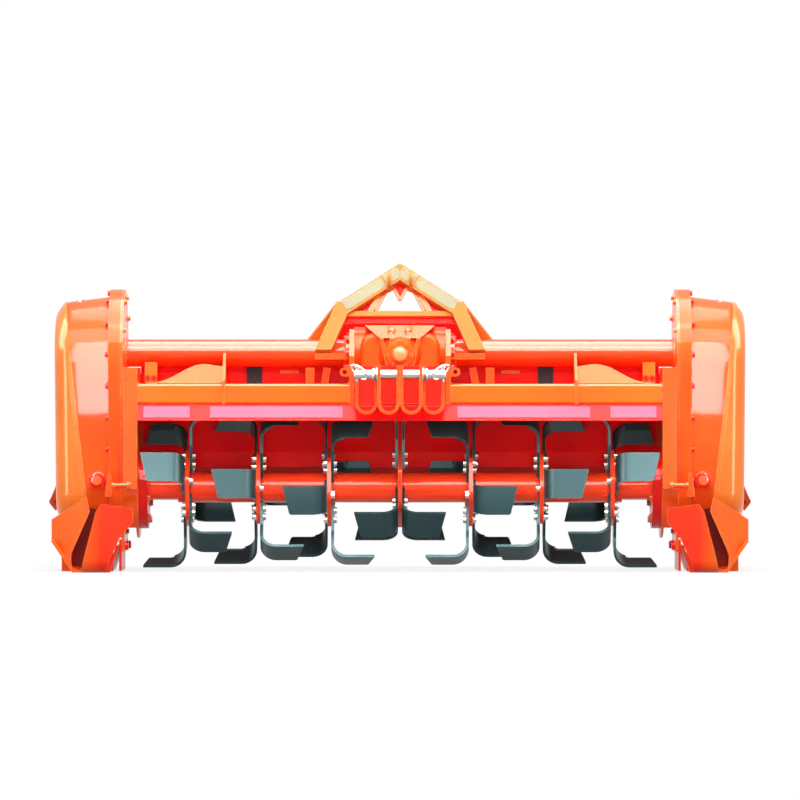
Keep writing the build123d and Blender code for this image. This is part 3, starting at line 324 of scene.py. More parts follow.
# %% Reds, blade paint, zinc and dark steel
red_enamel = enamel("red_enamel", (0.90, 0.012, 0.006), (0.82, 0.007, 0.006),
                    edge=(1.0, 0.16, 0.06), edge_amount=0.5,
                    coat=0.20, specular=0.20, tint=(1, 0.16, 0.08))
hood_enamel = enamel("hood_enamel", (0.86, 0.008, 0.008), (0.78, 0.005, 0.009),
                     edge=(1.0, 0.16, 0.06), edge_amount=0.5,
                     coat=0.06, specular=0.10, tint=(1, 0.12, 0.06))
rotor_enamel = enamel("rotor_enamel", (0.97, 0.062, 0.014), (0.94, 0.040, 0.010),
                      edge=(1.0, 0.20, 0.08), edge_amount=0.5,
                      coat=0.30, specular=0.25, tint=(1, 0.2, 0.1))
blade_paint = finish("blade_paint", (0.022, 0.044, 0.048), (0.015, 0.031, 0.034),
                     (0.22, 0.30, 0.32), 0.6, 0.34, 0.12, 0.22,
                     coat=0.10, coat_rough=0.22, specular=0.20, tint=(0.5, 0.95, 1))
bright_zinc = finish("bright_zinc", (0.46, 0.45, 0.40), (0.36, 0.35, 0.31),
                     (0.70, 0.70, 0.66), 0.3, 0.26, 0.12, 0.2, metallic=1.0)
dark_steel = finish("dark_steel", (0.040, 0.042, 0.052), (0.025, 0.026, 0.032),
                    (0.22, 0.23, 0.25), 0.4, 0.34, 0.14, 0.2, specular=0.12)
print("materials:", [material.name for material in bpy.data.materials])

# %% [markdown]
# ## Painted shade on two parts, and which part wears what
# The inner faces of the skids and the hollow of the link brackets are painted a deeper red
# as painted shade, for the shade that falls there. Both are one part, so the change of
# tone follows a coordinate: distance from the middle on the skids, depth on the brackets.
# Every other part has one finish. It follows the part's material slot, unless the kind of
# part has a finish of its own.

# %% Painted shade by place, and a finish for every CAD part
def painted_shade_across(material, axis, start, end, tone, second):
    """Painted shade: these tones up to start and the finish's own from end on; X is counted from
    the middle.
    """
    tree = material.node_tree
    group = next(n for n in tree.nodes if n.type == "GROUP" and n.node_tree == sprayed_tone)
    where = add_node(tree, "TexCoord").outputs["Object"]
    place = add_node(tree, "SeparateXYZ", {0: where}).outputs[axis]
    if axis == "X":
        place = arithmetic(tree, "ABSOLUTE", place)
    share = ramp(tree, place, start, end)
    for label, colour in (("Tone", tone), ("Second", second)):
        own = tuple(group.inputs[label].default_value)
        feed(tree, group, {label: mixed(tree, share, (*colour, 1), own)})


# Painted shade: deeper red on the skids' inner faces and in the brackets' hollow.
painted_shade_across(skid_enamel, "X", 0.880, 0.935, (0.92, 0.026, 0.008), (0.86, 0.018, 0.006))
painted_shade_across(bracket_enamel, "Y", -0.262, -0.318, (0.90, 0.014, 0.006), (0.84, 0.010, 0.006))
slot_finish = {"orange_paint": orange_enamel, "red_paint": red_enamel,
               "blade_gang": blade_paint, "bright_steel": bright_zinc, "dark_steel": dark_steel}
own_finish = {"square_tube": amber_enamel, "top_tube": tube_enamel, "mast": golden_painted_highlight,
              "casing_cover": cover_enamel_and_highlight, "gearbox": cast_enamel, "drive_casing": cast_enamel,
              # Painted shade: the trailing board wears the hood's deep red in place of its orange
              # slot, for its shaded inner face.
              "hood": hood_enamel, "mast_panel": hood_enamel, "trailing_board": hood_enamel,
              "skid": skid_enamel, "rotor_tube": rotor_enamel, "tube_gusset": gusset_painted_highlight,
              "link_bracket": bracket_enamel}
subparts = frame["record"]["subparts"]
for subpart in subparts:
    kind = subpart["node"].removesuffix("_left").removesuffix("_right")
    mesh = nodes[subpart["node"]].data
    mesh.materials.clear()
    mesh.materials.append(own_finish.get(kind, slot_finish[subpart["material_slot"]]))
print(len(subparts), "parts painted")

# %% [markdown]
# ## The stage
# The machine stands on a plain pale floor under a white sky. What the camera and reflections
# see there is nearly white, and what sends light back to the machine is a darker grey. Light
# Path tells the two kinds of ray apart. A brighter lamp could whiten the floor too, but it
# would wash out the paint. Near the machine a part of the floor is plain matt paint, which
# keeps the shadow, and further away it fades to the white of the sky.

# %% World and floor
scene = bpy.context.scene
scene.view_settings.view_transform = "Standard"
WHITE, SKY_LIGHT, FLOOR_LIGHT = (1, 1, 1, 1), (0.24, 0.24, 0.25, 1), (0.34, 0.34, 0.34, 1)
MATT_PAINT = (0.95, 0.95, 0.95, 1)
FADE_START, FADE_END = 1.3, 2.6  # metres from the middle of the machine
WHITE_NEAR = 0.82  # the share of pure white inside the fade
FLOOR_REACH = 30.0


def seen_rays(tree):
    """1 for camera, glossy and transmitted rays, and 0 for the rays that carry light."""
    rays = add_node(tree, "LightPath")
    total = rays.outputs["Is Camera Ray"]
    for label in ("Is Glossy Ray", "Is Transmission Ray"):
        total = add_node(tree, "Math", {0: total, 1: rays.outputs[label]},
                         operation="ADD", use_clamp=True).outputs[0]
    return total


world = bpy.data.worlds.new("white_sky")
world.use_nodes = True
scene.world = world
sky = world.node_tree
feed(sky, sky.nodes["Background"], {"Color": mixed(sky, seen_rays(sky), SKY_LIGHT, WHITE)})

floor_paint = bpy.data.materials.new("pale_floor")
floor_paint.use_nodes = True
tree = floor_paint.node_tree
lit = tree.nodes["Principled BSDF"]
feed(tree, lit, {"Base Color": FLOOR_LIGHT, "Roughness": 1.0, "Specular IOR Level": 0.0})
where = add_node(tree, "TexCoord").outputs["Object"]
away = add_node(tree, "VectorMath", {0: where}, operation="LENGTH").outputs["Value"]
matt = add_node(tree, "BsdfDiffuse", {"Color": MATT_PAINT}).outputs["BSDF"]
glow = add_node(tree, "Emission", {"Color": WHITE}).outputs["Emission"]
share = ramp(tree, away, FADE_START, FADE_END, WHITE_NEAR, 1.0)
pale = add_node(tree, "MixShader", {"Fac": share, 1: matt, 2: glow}).outputs["Shader"]
shown = add_node(tree, "MixShader", {"Fac": seen_rays(tree), 1: lit.outputs["BSDF"], 2: pale})
feed(tree, tree.nodes["Material Output"], {"Surface": shown.outputs["Shader"]})

floor_mesh = bpy.data.meshes.new("floor")
corners = [(x * FLOOR_REACH, y * FLOOR_REACH, 0) for x, y in ((-1, -1), (1, -1), (1, 1), (-1, 1))]
floor_mesh.from_pydata(corners, [], [(0, 1, 2, 3)])
floor_mesh.materials.append(floor_paint)
floor = bpy.data.objects.new("floor", floor_mesh)
scene.collection.objects.link(floor)
print("floor fades out by", FADE_END, "m")

# %% [markdown]
# ## Light
# A lamp does two things to paint: it lights the colour, and it is seen in the gloss. The
# first wants a weak lamp and the second a strong one, so here every lamp does one of the
# two. Large soft ones only light. Bright cards only show in reflections, as the sky does on
# real enamel. Two low ones reach a few parts alone, because light from the ground in front
# gets into the mouth of the hood.

# %% Lamps
def lamp(name, at, target, width, height, watts, colour=(1, 1, 1), lights=True, reflects=True):
    """A soft rectangle at one point that faces another; it may only light, or only be seen."""
    data = bpy.data.lights.new(name, "AREA")
    data.shape = "RECTANGLE"
    data.size, data.size_y = width, height
    data.energy = watts
    data.color = colour
    piece = bpy.data.objects.new(name, data)
    piece.visible_camera = False
    piece.visible_diffuse = lights
    piece.visible_glossy = reflects
    turn = axes_along(np.asarray(at, float) - np.asarray(target, float))
    rows = [[*turn[i], at[i]] for i in range(3)]
    piece.matrix_world = Matrix([*rows, [0, 0, 0, 1]])
    scene.collection.objects.link(piece)
    return piece


SIDES = ((-1, "right"), (1, "left"))  # the sign of X on each side of the machine
MIDDLE = (0, 0, 0.4)
lamp("overhead", (0, -0.9, 3.0), (0, -0.1, 0.4), 4.6, 1.5, 105, reflects=False)
lamp("key", (0, -3.9, 3.3), MIDDLE, 3.2, 1.3, 80, (1.0, 0.98, 0.94), reflects=False)
lamp("front_fill", (0, -6.0, 1.0), MIDDLE, 4.0, 2.0, 112, reflects=False)
lamp("back_fill", (0, 4.5, 2.6), MIDDLE, 4.0, 1.5, 75, reflects=False)
for side, hand in SIDES:
    lamp(f"end_fill_{hand}", (side * 4.5, 0.4, 1.6), (side * 0.9, 0, 0.4), 2.0, 1.5, 80,
         reflects=False)
lamp("sky_front", (0, -3.9, 3.4), (0, 0, 0.5), 6.0, 2.9, 1090, lights=False)
lamp("sky_top", (0, -1.0, 5.0), (0, 0, 0.5), 6.0, 4.0, 1500, lights=False)
for side, hand in SIDES:
    lamp(f"side_sky_{hand}", (side * 3.9, -1.0, 2.6), (side * 1.0, -0.2, 0.7), 2.6, 3.4, 560,
         (1.0, 0.96, 0.86), lights=False)
    lamp(f"casing_card_{hand}", (side * 1.175, -1.15, 0.654), (side * 0.91, -0.25, 0.98),
         0.15, 1.0, 31, (1.0, 0.95, 0.97), lights=False)
    lamp(f"cover_card_{hand}", (side * 1.50, -0.62, 0.36), (side * 1.0, -0.2, 0.50),
         0.16, 0.9, 9, (1.0, 0.92, 0.70), lights=False)
print(len(bpy.data.lights), "lamps for the whole machine")


# %% Two lamps that reach a few parts
def meant_for(light, *starts):
    """A lamp reaches only the nodes whose names start this way; all else still casts shadow."""
    group = bpy.data.collections.new(light.name + "_reaches")
    for subpart in subparts:
        if subpart["node"].startswith(starts):
            group.objects.link(nodes[subpart["node"]])
    light.light_linking.receiver_collection = group


blade_card = lamp("blade_card", (0, -0.78, 0.25), (0, 0, 0.25), 1.7, 0.50, 22, (0.90, 1.0, 1.0),
                  lights=False)
meant_for(blade_card, "blade_gang")
hood_fill = lamp("hood_fill", (0, -2.6, 0.20), (0, 0, 0.42), 1.6, 0.4, 21, reflects=False)
meant_for(hood_fill, "hood", "rotor_tube")

# %% [markdown]
# ## The camera
# A catalogue shows an implement level and from straight ahead. A camera far away with a long
# lens keeps both ends of a wide machine square. A near one would turn them outwards.

# %% A long lens, level and straight ahead
camera_data = bpy.data.cameras.new("camera")
camera_data.lens = 270.0
camera_data.sensor_width = 36.0
camera = bpy.data.objects.new("camera", camera_data)
camera.location = (0, -18.0, 0.51)
camera.rotation_euler = (pi / 2, 0, 0)
scene.collection.objects.link(camera)
scene.camera = camera
print("camera at", tuple(camera.location))

# %% [markdown]
# ## Bolts
# Everything on the machine is bolted, and a row of bolt heads is what gives a casting or a
# flange its scale. A head is a six-sided prism whose top corners are turned off by a
# shallow cone, standing on a washer. It could be a cylinder with a bevel, but then it would
# not catch the light on one flat at a time. All heads of one kind are joined into one mesh,
# which keeps the scene light.

# %% Hexagon head, washer, and a row of them
OUTWARD, INWARD, AHEAD, UP = (1, 0, 0), (-1, 0, 0), (0, -1, 0), (0, 0, 1)


def hex_head(across=0.018, height=0.0075, washer=0.0135, around=18):
    """Rims round Z: half the flats / cos of the angle from a flat, cut by a cone, on a washer."""
    angle = np.arange(around) * 2 * pi / around
    flat = across / 2 / np.cos((angle + pi / 6) % (pi / 3) - pi / 6)
    crown = np.minimum(flat, across / 2 * 1.03)
    disc, dome = np.full(around, washer), np.full(around, across * 0.36)
    rims = [(disc, 0.0), (disc, 0.0018), (flat, 0.0019), (flat, height * 0.82),
            (crown, height), (dome, height * 1.01)]
    grid = np.stack([np.stack([r * np.cos(angle), r * np.sin(angle), 0 * angle + z], axis=-1)
                     for r, z in rims])
    return grid.reshape(-1, 3), capped_faces(len(rims), around)


def bolts(places, along, head):
    """One head at each place, each turned a little further than the one before it."""
    return join([placed(head, at, along, turn=0.35 * count) for count, at in enumerate(places)])


def circle(count, radius, centre, start=0.0):
    """Even places round a circle: the centre plus radius times cos and sin."""
    angle = np.arange(count) * 2 * pi / count + start
    return np.asarray(centre) + radius * np.stack([np.cos(angle), np.sin(angle)], axis=-1)


print("a head has", len(hex_head()[1]), "faces")

# %% [markdown]
# ## The drive casings' flanges
# Each casing is bolted to the side of the machine through a rim that follows its outline:
# two arcs joined by two straight lines, like a belt round two pulleys. Walking that belt at
# even steps gives the bolt places. The belt's length along each arc and line is worked out
# first, and then every step is looked up in it.

# %% Bolts round the casing, and the belt they follow
ROTOR = np.array([-0.050636, 0.248])  # y, z of the rotor's axis
TOP_TUBE = np.array([-0.080636, 0.650])  # y, z of the top tube's axis
FLANGE_TOP, FLANGE_FOOT = 0.190, 0.150  # radii of the casing's flange round the two axes
BOLT_INSET = 0.0115
FLANGE_X, PLATE_X = 0.863, 0.819  # the flange's outer face, and the inner face of the side
HOOD_SPAN = (0.2, 0.62)  # between these heights the hood hides the nuts


def belt(top_radius, foot_radius, steps):
    """Even steps by length round two pulleys: arc, tangent line, arc, tangent line."""
    between = TOP_TUBE - ROTOR
    heading = np.arctan2(between[1], between[0])
    spread = np.arccos((foot_radius - top_radius) / np.linalg.norm(between))
    arcs = []
    for centre, radius, start, end in (
            (TOP_TUBE, top_radius, heading - spread, heading + spread),
            (ROTOR, foot_radius, heading + spread, heading + 2 * pi - spread)):
        angle = np.linspace(start, end, 60)
        arcs.append(centre + radius * np.stack([np.cos(angle), np.sin(angle)], axis=-1))
    line = np.concatenate([*arcs, arcs[0][:1]])
    run = np.concatenate([[0], np.cumsum(np.linalg.norm(np.diff(line, axis=0), axis=1))])
    at = np.arange(steps) * run[-1] / steps
    return np.stack([np.interp(at, run, line[:, 0]), np.interp(at, run, line[:, 1])], axis=-1)


rim = belt(FLANGE_TOP - BOLT_INSET, FLANGE_FOOT - BOLT_INSET, 19)
casing_bolts = bolts([(FLANGE_X, y, z) for y, z in rim], OUTWARD,
                     hex_head(0.015, 0.0095, 0.0105))
add_piece("casing_bolts", both_sides(casing_bolts), red_enamel)

plate_places = [(PLATE_X, y, z) for y, z in belt(0.170, 0.132, 15)
                if not HOOD_SPAN[0] <= z <= HOOD_SPAN[1]]
plate_nuts = bolts(plate_places, INWARD, hex_head(0.014, 0.008, 0.011))
add_piece("casing_plate_nuts", both_sides(plate_nuts), orange_enamel)
print(len(rim), "bolts round each casing and", len(plate_places), "nuts inside")

# %% [markdown]
# ## The front of each side
# The lower front of a casing carries a boss with a big hexagon bolt, and beside it a short
# locking bar lies across an ear. These are turned shapes, so each is a profile of radius
# against length, swept round its axis. The bearing flange of the rotor has a ring of bolts
# on its inner side.

# %% Boss bolts, locking bars and hub bolts
BOSS = (0.898, -0.2086, 0.272)
BAR_START, NUT_PLACE = (0.806, -0.2585, 0.2575), (0.8065, -0.2585, 0.2575)
collar_profile = [(0.011, 0), (0.0235, 0.0005), (0.0245, 0.002), (0.0245, 0.005),
                  (0.022, 0.0065), (0.011, 0.0065)]
bar_profile = [(0.0050, 0), (0.0075, 0.002), (0.0075, 0.036), (0.0100, 0.038),
               (0.0100, 0.046), (0.0080, 0.048)]

boss = placed(hex_head(0.026, 0.015, 0.019, 36), BOSS, AHEAD, 0.2)
add_piece("boss_bolts", both_sides(boss), orange_enamel)
boss_collar = placed(lathe(collar_profile), BOSS, AHEAD)
add_piece("boss_collars", both_sides(boss_collar), red_enamel, smooth=35)

bar = placed(lathe(bar_profile, 24), BAR_START, OUTWARD)
nut = placed(hex_head(0.020, 0.009, 0.0125), NUT_PLACE, INWARD)
add_piece("locking_bars", both_sides(join([bar, nut])), orange_enamel, smooth=35)

hub_places = [(0.751, y, z) for y, z in circle(8, 0.100, ROTOR, 0.3)]
add_piece("hub_bolts", both_sides(bolts(hub_places, INWARD, hex_head(0.018, 0.009, 0.0125))),
          orange_enamel)
print("bosses, bars and", 2 * len(hub_places), "hub bolts placed")

# %% [markdown]
# ## Blade bolts
# Two bolts hold each blade to its flange, with the head on the blade and the nut on the far
# side. They are new zinc-plated bolts on a painted rotor, and turn with it, so they ride on
# the rotor's body. The flange angles follow the same rule as the blades: each flange lags
# the next one out.

# %% Zinc bolts on every blade flange
PITCH = 0.211  # from one flange to the next
LEAD, LAG, MIDDLE_LEAD = 12.0, 12.5, -32.0  # degrees: outermost flange, each step in, the middle
BOLT_RADII = (0.072, 0.100)
HEAD_OFF, NUT_OFF = 0.014, 0.006  # from the flange's middle plane


def gang_bolts(place):
    """Two bolts on each blade's middle line; blades are 60 degrees apart, or 120 in the middle."""
    if place:
        lead = LEAD - (3 - abs(place)) * LAG
        blades = [(60 * k, (1, -1)[k % 2]) for k in range(6)]
    else:
        lead = MIDDLE_LEAD
        blades = [(120 * k, hand) for k in range(3) for hand in (1, -1)]
    side, middle = (-1 if place < 0 else 1), abs(place) * PITCH
    head, nut = hex_head(0.019, 0.0085, 0.0125), hex_head(0.019, 0.0105, 0.0125)
    parts = []
    for behind, hand in blades:
        angle = radians(180 - (lead - behind))
        for radius in BOLT_RADII:
            y, z = ROTOR[0] + radius * cos(angle), ROTOR[1] + radius * sin(angle)
            at = (side * (middle + hand * HEAD_OFF), y, z)
            parts.append(placed(head, at, (side * hand, 0, 0), 0.3 * behind))
            if place:
                at = (side * (middle - hand * NUT_OFF), y, z)
                parts.append(placed(nut, at, (-side * hand, 0, 0), 0.2 * behind))
    return join(parts)


for place in range(-3, 4):
    add_piece(f"blade_bolts_{place + 4}", gang_bolts(place), bright_zinc, "rotor")
print("blade bolts on 7 flanges")

# %% [markdown]
# ## Weld beads
# A weld is a raised bead with the ripples of the cooling puddle. Round a tube it is a thin
# torus whose bead radius swells and shrinks many times on its way round. A bump texture
# could draw the ripples, but the bead also has to fill the sharp corner between tube and
# plate, and only real shape does that.

# %% Ring beads and straight beads
def weld_ring(radius, bead, ripples, around=96, across=8):
    """A torus: radius + s cos v outwards, s sin v up; s = bead (1 + 0.14 sin ripples u), uneven."""
    u = np.arange(around) * 2 * pi / around
    v = np.arange(across) * 2 * pi / across
    u, v = np.meshgrid(u, v, indexing="ij")
    swell = bead * (1 + 0.14 * np.sin(ripples * u) + 0.05 * np.sin(5 * u + 1))
    out = radius + swell * np.cos(v)
    points = np.stack([out * np.cos(u), out * np.sin(u), swell * np.sin(v)], axis=-1)
    return points.reshape(-1, 3), grid_faces(around, across, close_rows=True, close_columns=True)


def weld_line(start, end, bead, ripples):
    """A straight bead: the same rippling circle carried between two points, closed at its ends."""
    start, end = np.asarray(start, float), np.asarray(end, float)
    along, across = 2 * ripples + 1, 8
    t = np.linspace(0, 1, along)
    v = np.arange(across) * 2 * pi / across
    t, v = np.meshgrid(t, v, indexing="ij")
    ends = np.sqrt(np.clip(1 - (2 * t - 1) ** 18, 0.05, 1))
    swell = bead * (1 + 0.16 * np.cos(ripples * 2 * pi * t)) * ends
    section = np.stack([swell * np.cos(v), swell * np.sin(v), 0 * v], axis=-1)
    points = start + t[..., None] * (end - start) + section @ axes_along(end - start).T
    return points.reshape(-1, 3), capped_faces(along, across)


flange_bead = weld_ring(0.0455, 0.0042, 30)
rotor_welds = [placed(flange_bead, (place * PITCH + side * 0.0075, *ROTOR), OUTWARD)
               for place in range(-3, 4) for side in (-1, 1)]
add_piece("rotor_welds", join(rotor_welds), rotor_enamel, "rotor", smooth=80)

frame_welds = [placed(weld_ring(0.042, 0.0045, 28), (0.8185, *TOP_TUBE), OUTWARD),
               placed(weld_ring(0.042, 0.0040, 28), (0.1635, *TOP_TUBE), OUTWARD),
               weld_line((0.776, -0.2386, 0.5585), (0.776, -0.1786, 0.5585), 0.004, 8),
               weld_line((0.776, -0.2390, 0.500), (0.776, -0.2390, 0.556), 0.004, 8),
               weld_line((0.151, -0.2386, 0.5585), (0.151, -0.1786, 0.5585), 0.004, 8),
               weld_line((0.5265, -0.240, 0.5595), (0.5265, -0.182, 0.5595), 0.0035, 8),
               weld_line((0.720, -0.2175, 0.5585), (0.756, -0.2175, 0.5585), 0.0035, 6)]
add_piece("frame_welds", both_sides(join(frame_welds)), orange_enamel, smooth=80)
print(len(rotor_welds), "beads on the rotor and", 2 * len(frame_welds), "on the frame")

# %% [markdown]
# ## Coil springs on the stay rods
# Each stay rod carries a compression spring that presses the trailing board down. The CAD
# model has a plain sleeve of the spring's outer shape, because a spring's coils would make
# it heavy. A coil is a circle carried along a helix. The pitch is even in the middle and
# closes at both ends, where a real spring is ground flat, so the height follows a smooth
# curve of the turn and not a straight line.

# %% The coil, and the line of the rod
def wire_skin(path, wire, first, second, across):
    """Points path + wire (first cos v + second sin v), with v going round the wire."""
    v = (np.arange(across) * 2 * pi / across)[None, :, None]
    ring = first[:, None] * np.cos(v) + second[:, None] * np.sin(v)
    return (path[:, None] + wire * ring).reshape(-1, 3)


def coil(radius, wire, start, end, turns, closed=1.25, per_turn=28, across=10):
    """The wire carried along (radius cos a, radius sin a, h(a)), with h slow in the end turns."""
    turn = np.linspace(0, turns, int(turns * per_turn) + 1)
    opening = np.clip((turn - closed) / 0.6, 0, 1) * np.clip((turns - closed - turn) / 0.6, 0, 1)
    rate = 0.12 + 0.88 * opening
    climb = np.concatenate([[0], np.cumsum((rate[1:] + rate[:-1]) / 2)])
    height = start + wire + (end - start - 2 * wire) * climb / climb[-1]
    angle = 2 * pi * turn
    path = np.stack([radius * np.cos(angle), radius * np.sin(angle), height], axis=-1)
    along = np.gradient(path, axis=0)
    along /= np.linalg.norm(along, axis=1, keepdims=True)
    outward = np.stack([np.cos(angle), np.sin(angle), 0 * angle], axis=-1)
    points = wire_skin(path, wire, outward, np.cross(along, outward), across)
    return points, [face[::-1] for face in capped_faces(len(turn), across)]


ROD_X = 0.436
ROD_FOOT = np.array([0.349130, 0.302299])  # y, z of the rod's pivot on the board
ROD_GUIDE = np.array([0.023364, 0.640])  # y, z of the hole it slides through
rod_run = ROD_GUIDE - ROD_FOOT
rod_length = np.linalg.norm(rod_run)
rod_way = np.array([0, *rod_run / rod_length])


def on_rod(distance, side=1):
    """A point on a rod's axis, this far from its foot."""
    return np.array([side * ROD_X, *(ROD_FOOT + rod_run * distance / rod_length)])


print("rods are", round(float(rod_length), 3), "m from foot to guide")

# %% A spring, its two cups, the split pins and the nut on each rod
SPRING_FOOT, SPRING_TOP, CUP_FOOT = 0.060, rod_length - 0.120, 0.055
NUT_UP = rod_length + 0.0155
cup = lathe([(0.0085, 0), (0.0205, 0.0005), (0.0215, 0.0018), (0.0215, 0.0045),
             (0.0200, 0.006), (0.0085, 0.006)], 28)
spring = coil(0.0168, 0.0036, SPRING_FOOT, SPRING_TOP, 15.5)
split_pin = lathe([(0.0011, 0), (0.0014, 0.0008), (0.0014, 0.030), (0.0009, 0.031)], 10)
for side, hand in SIDES:
    whole = join([placed(spring, on_rod(0, side), rod_way),
                  placed(cup, on_rod(CUP_FOOT, side), rod_way),
                  placed(cup, on_rod(SPRING_TOP, side), rod_way)])
    add_piece(f"coil_spring_{hand}", whole, dark_steel, f"stay_rod_{hand}",
              smooth=60, replaces=[f"stay_spring_{hand}"])
    trim = [placed(split_pin, (side * x, ROD_FOOT[0] - 0.004, ROD_FOOT[1] + 0.0145), (0, 0.25, -1))
            for x in (0.4135, 0.4585)]
    trim.append(placed(hex_head(0.024, 0.009, 0.015), on_rod(NUT_UP, side), rod_way, 0.4))
    add_piece(f"rod_trim_{hand}", join(trim), bright_zinc, f"stay_rod_{hand}",
              smooth=35)
print("a spring has", len(spring[0]), "points")

# %% [markdown]
# ## Lynch pins on the link pins
# A lower link pin is kept in the tractor's ball by a lynch pin: a short peg through the
# pin's end with a spring ring that snaps over. The ring is a wire bent to a long loop,
# a little narrower at one end, and it leans over the link pin. It is the same
# circle-along-a-path surface as the spring, on a closed path. The washer beside it keeps
# the ball off the bracket.

# %% Lynch pins and washers
LOOP_MIDDLE = np.array([0.1200, -0.3640, 0.5930])
LOOP_LONG, LOOP_WIDE = np.array([0.80, 0.05, 0.60]), np.array([-0.36, -0.60, 0.72])
LOOP_HALF_LENGTH, LOOP_HALF_WIDTH, LOOP_TAPER = 0.0290, 0.0165, 0.18
peg_profile = [(0.0025, 0), (0.0048, 0.003), (0.0048, 0.040), (0.0075, 0.041),
               (0.0085, 0.046), (0.0070, 0.051)]
washer_profile = [(0.0150, 0), (0.0185, 0.002), (0.0195, 0.006), (0.0185, 0.010), (0.0150, 0.012)]


def wire_loop(path, wire, across=10):
    """The wire's circle carried along a closed flat path, with the path's normal as one axis."""
    along = np.roll(path, -1, axis=0) - np.roll(path, 1, axis=0)
    along /= np.linalg.norm(along, axis=1, keepdims=True)
    middle = path.mean(axis=0)
    flat = np.cross(path[0] - middle, path[len(path) // 4] - middle)
    flat /= np.linalg.norm(flat)
    points = wire_skin(path, wire, np.cross(along, flat), flat + 0 * path, across)
    return points, grid_faces(len(path), across, close_rows=True, close_columns=True)


turn = (np.arange(48) * 2 * pi / 48)[:, None]
loop_path = (LOOP_MIDDLE + LOOP_HALF_LENGTH * np.cos(turn) * LOOP_LONG
             + LOOP_HALF_WIDTH * (np.sin(turn) * (1 - LOOP_TAPER * np.cos(turn))) * LOOP_WIDE)
peg = placed(lathe(peg_profile, 20), (0.1265, -0.3506, 0.5615), UP)
lynch_pin = join([wire_loop(loop_path, 0.0028), peg])
add_piece("lynch_pins", both_sides(lynch_pin), bright_zinc, smooth=60)
washer = placed(lathe(washer_profile), (0.0715, -0.350636, 0.585), OUTWARD)
add_piece("pin_washers", both_sides(washer), bright_zinc, smooth=50)
print("lynch pins have", len(lynch_pin[1]), "faces each")

# %% [markdown]
# ## The mast's blank plates
# The sloping bars of the mast carry cream sheet plates, left blank, with a bare strip of
# the bar between them. A plate is thin, so a flat box with rounded corners is enough: the
# outline is a rounded rectangle, and each plate is laid on the bar's leaning face through
# the same turn that leans the mast. Four rivets hold each plate.

# %% Rounded plates, and the leaning face of the mast
LEAN = radians(20)
MAST_FACE = np.array([0, -cos(LEAN), sin(LEAN)])  # the way the leaning face looks
MAST_FOOT = np.array([-0.200636, 0.660])  # y, z of the line it leans about
# A sloping bar's outer edge runs between these two corners, in x and height up the face.
APEX, SHOULDER = np.array([0.0, 0.258 / cos(LEAN)]), np.array([0.192, 0.13524 / cos(LEAN)])


def rounded_plate(length, width, corner, thick, steps=6):
    """Corner arcs joined by straight edges, in three rims up to the thickness, the top drawn in."""
    quarter = np.linspace(0, pi / 2, steps)
    corners = [(sx * (length / 2 - corner), sy * (width / 2 - corner), start)
               for sx, sy, start in ((1, 1, 0), (-1, 1, pi / 2), (-1, -1, pi), (1, -1, 3 * pi / 2))]
    rims = []
    for inset, height in ((0.0, 0.0), (0.0, thick * 0.6), (thick * 0.5, thick)):
        rims += [np.stack([x + (corner - inset) * np.cos(start + quarter),
                           y + (corner - inset) * np.sin(start + quarter),
                           0 * quarter + height], axis=-1) for x, y, start in corners]
    return np.concatenate(rims), capped_faces(3, 4 * steps)


def on_mast(points, ahead=0.0):
    """From (x, height up the leaning face) to the machine, a little ahead of the face."""
    points = np.asarray(points, float)
    up = points[..., 1]
    return np.stack([points[..., 0], MAST_FOOT[0] + up * sin(LEAN) - ahead * cos(LEAN),
                     MAST_FOOT[1] + up * cos(LEAN) + ahead * sin(LEAN)], axis=-1)


def on_bar(down, inwards):
    """The face of a sloping bar: apex + down * (its way) + inwards * (square to it), leant back."""
    way = (SHOULDER - APEX) / np.linalg.norm(SHOULDER - APEX)
    square = np.array([way[1], -way[0]])
    return on_mast(APEX + np.multiply.outer(down, way) + np.multiply.outer(inwards, square))


print("sloping bars are", round(float(np.linalg.norm(SHOULDER - APEX)), 3), "m long")

# %% Cream plates and their rivets
PLATE_SPANS = ((0.016, 0.068), (0.074, 0.214))  # from and to, down the bar's outer edge
PLATE_EDGES = (0.0035, 0.0365)  # from and to, in from that edge
RIVET_EDGES, RIVET_INSET = (0.0085, 0.0315), 0.006
PLATE_THICK, RIVET_LIFT = 0.0012, 0.001053  # a rivet starts just inside the plate


def bar_plate(start, end):
    """A rounded plate laid on the face of the left bar, between two distances down it."""
    inner, outer = PLATE_EDGES
    points, faces = rounded_plate(end - start, outer - inner, 0.004, PLATE_THICK)
    laid = on_bar((start + end) / 2 + points[:, 0], (inner + outer) / 2 + points[:, 1])
    return laid + points[:, 2:] * MAST_FACE, [face[::-1] for face in faces]


cream_plate = finish("cream_plate", (0.43, 0.39, 0.235), (0.39, 0.35, 0.20), (0.60, 0.56, 0.38),
                     0.3, 0.45, 0.12, 0.05, coat=0.04, coat_rough=0.10, specular=0.06)
plates = [bar_plate(start, end) for start, end in PLATE_SPANS]
add_piece("mast_plates", both_sides(join(plates)), cream_plate)
rivet = lathe([(0.0028, 0), (0.0026, 0.0008), (0.0018, 0.0013), (0.0008, 0.0015)], 12)
rivets = [placed(rivet, on_bar(down, inwards) + MAST_FACE * RIVET_LIFT, MAST_FACE)
          for start, end in PLATE_SPANS for down in (start + RIVET_INSET, end - RIVET_INSET)
          for inwards in RIVET_EDGES]
add_piece("plate_rivets", both_sides(join(rivets)), cream_plate, smooth=50)
print(2 * len(plates), "plates and", 2 * len(rivets), "rivets on the mast")

# %% [markdown]
# ## Folded rims, braces and strips
# The window in the mast's panel has a folded rim, the beam has an upright flange, short
# braces stand on the deck, and the front edge of the hood carries four pink strips, whose
# pink is partly tape and partly painted reflection of the sky on the red lip.
# They are all flat bars, so one function makes them: a bar of a given width and thickness
# between two points, with one direction that says which way it faces.

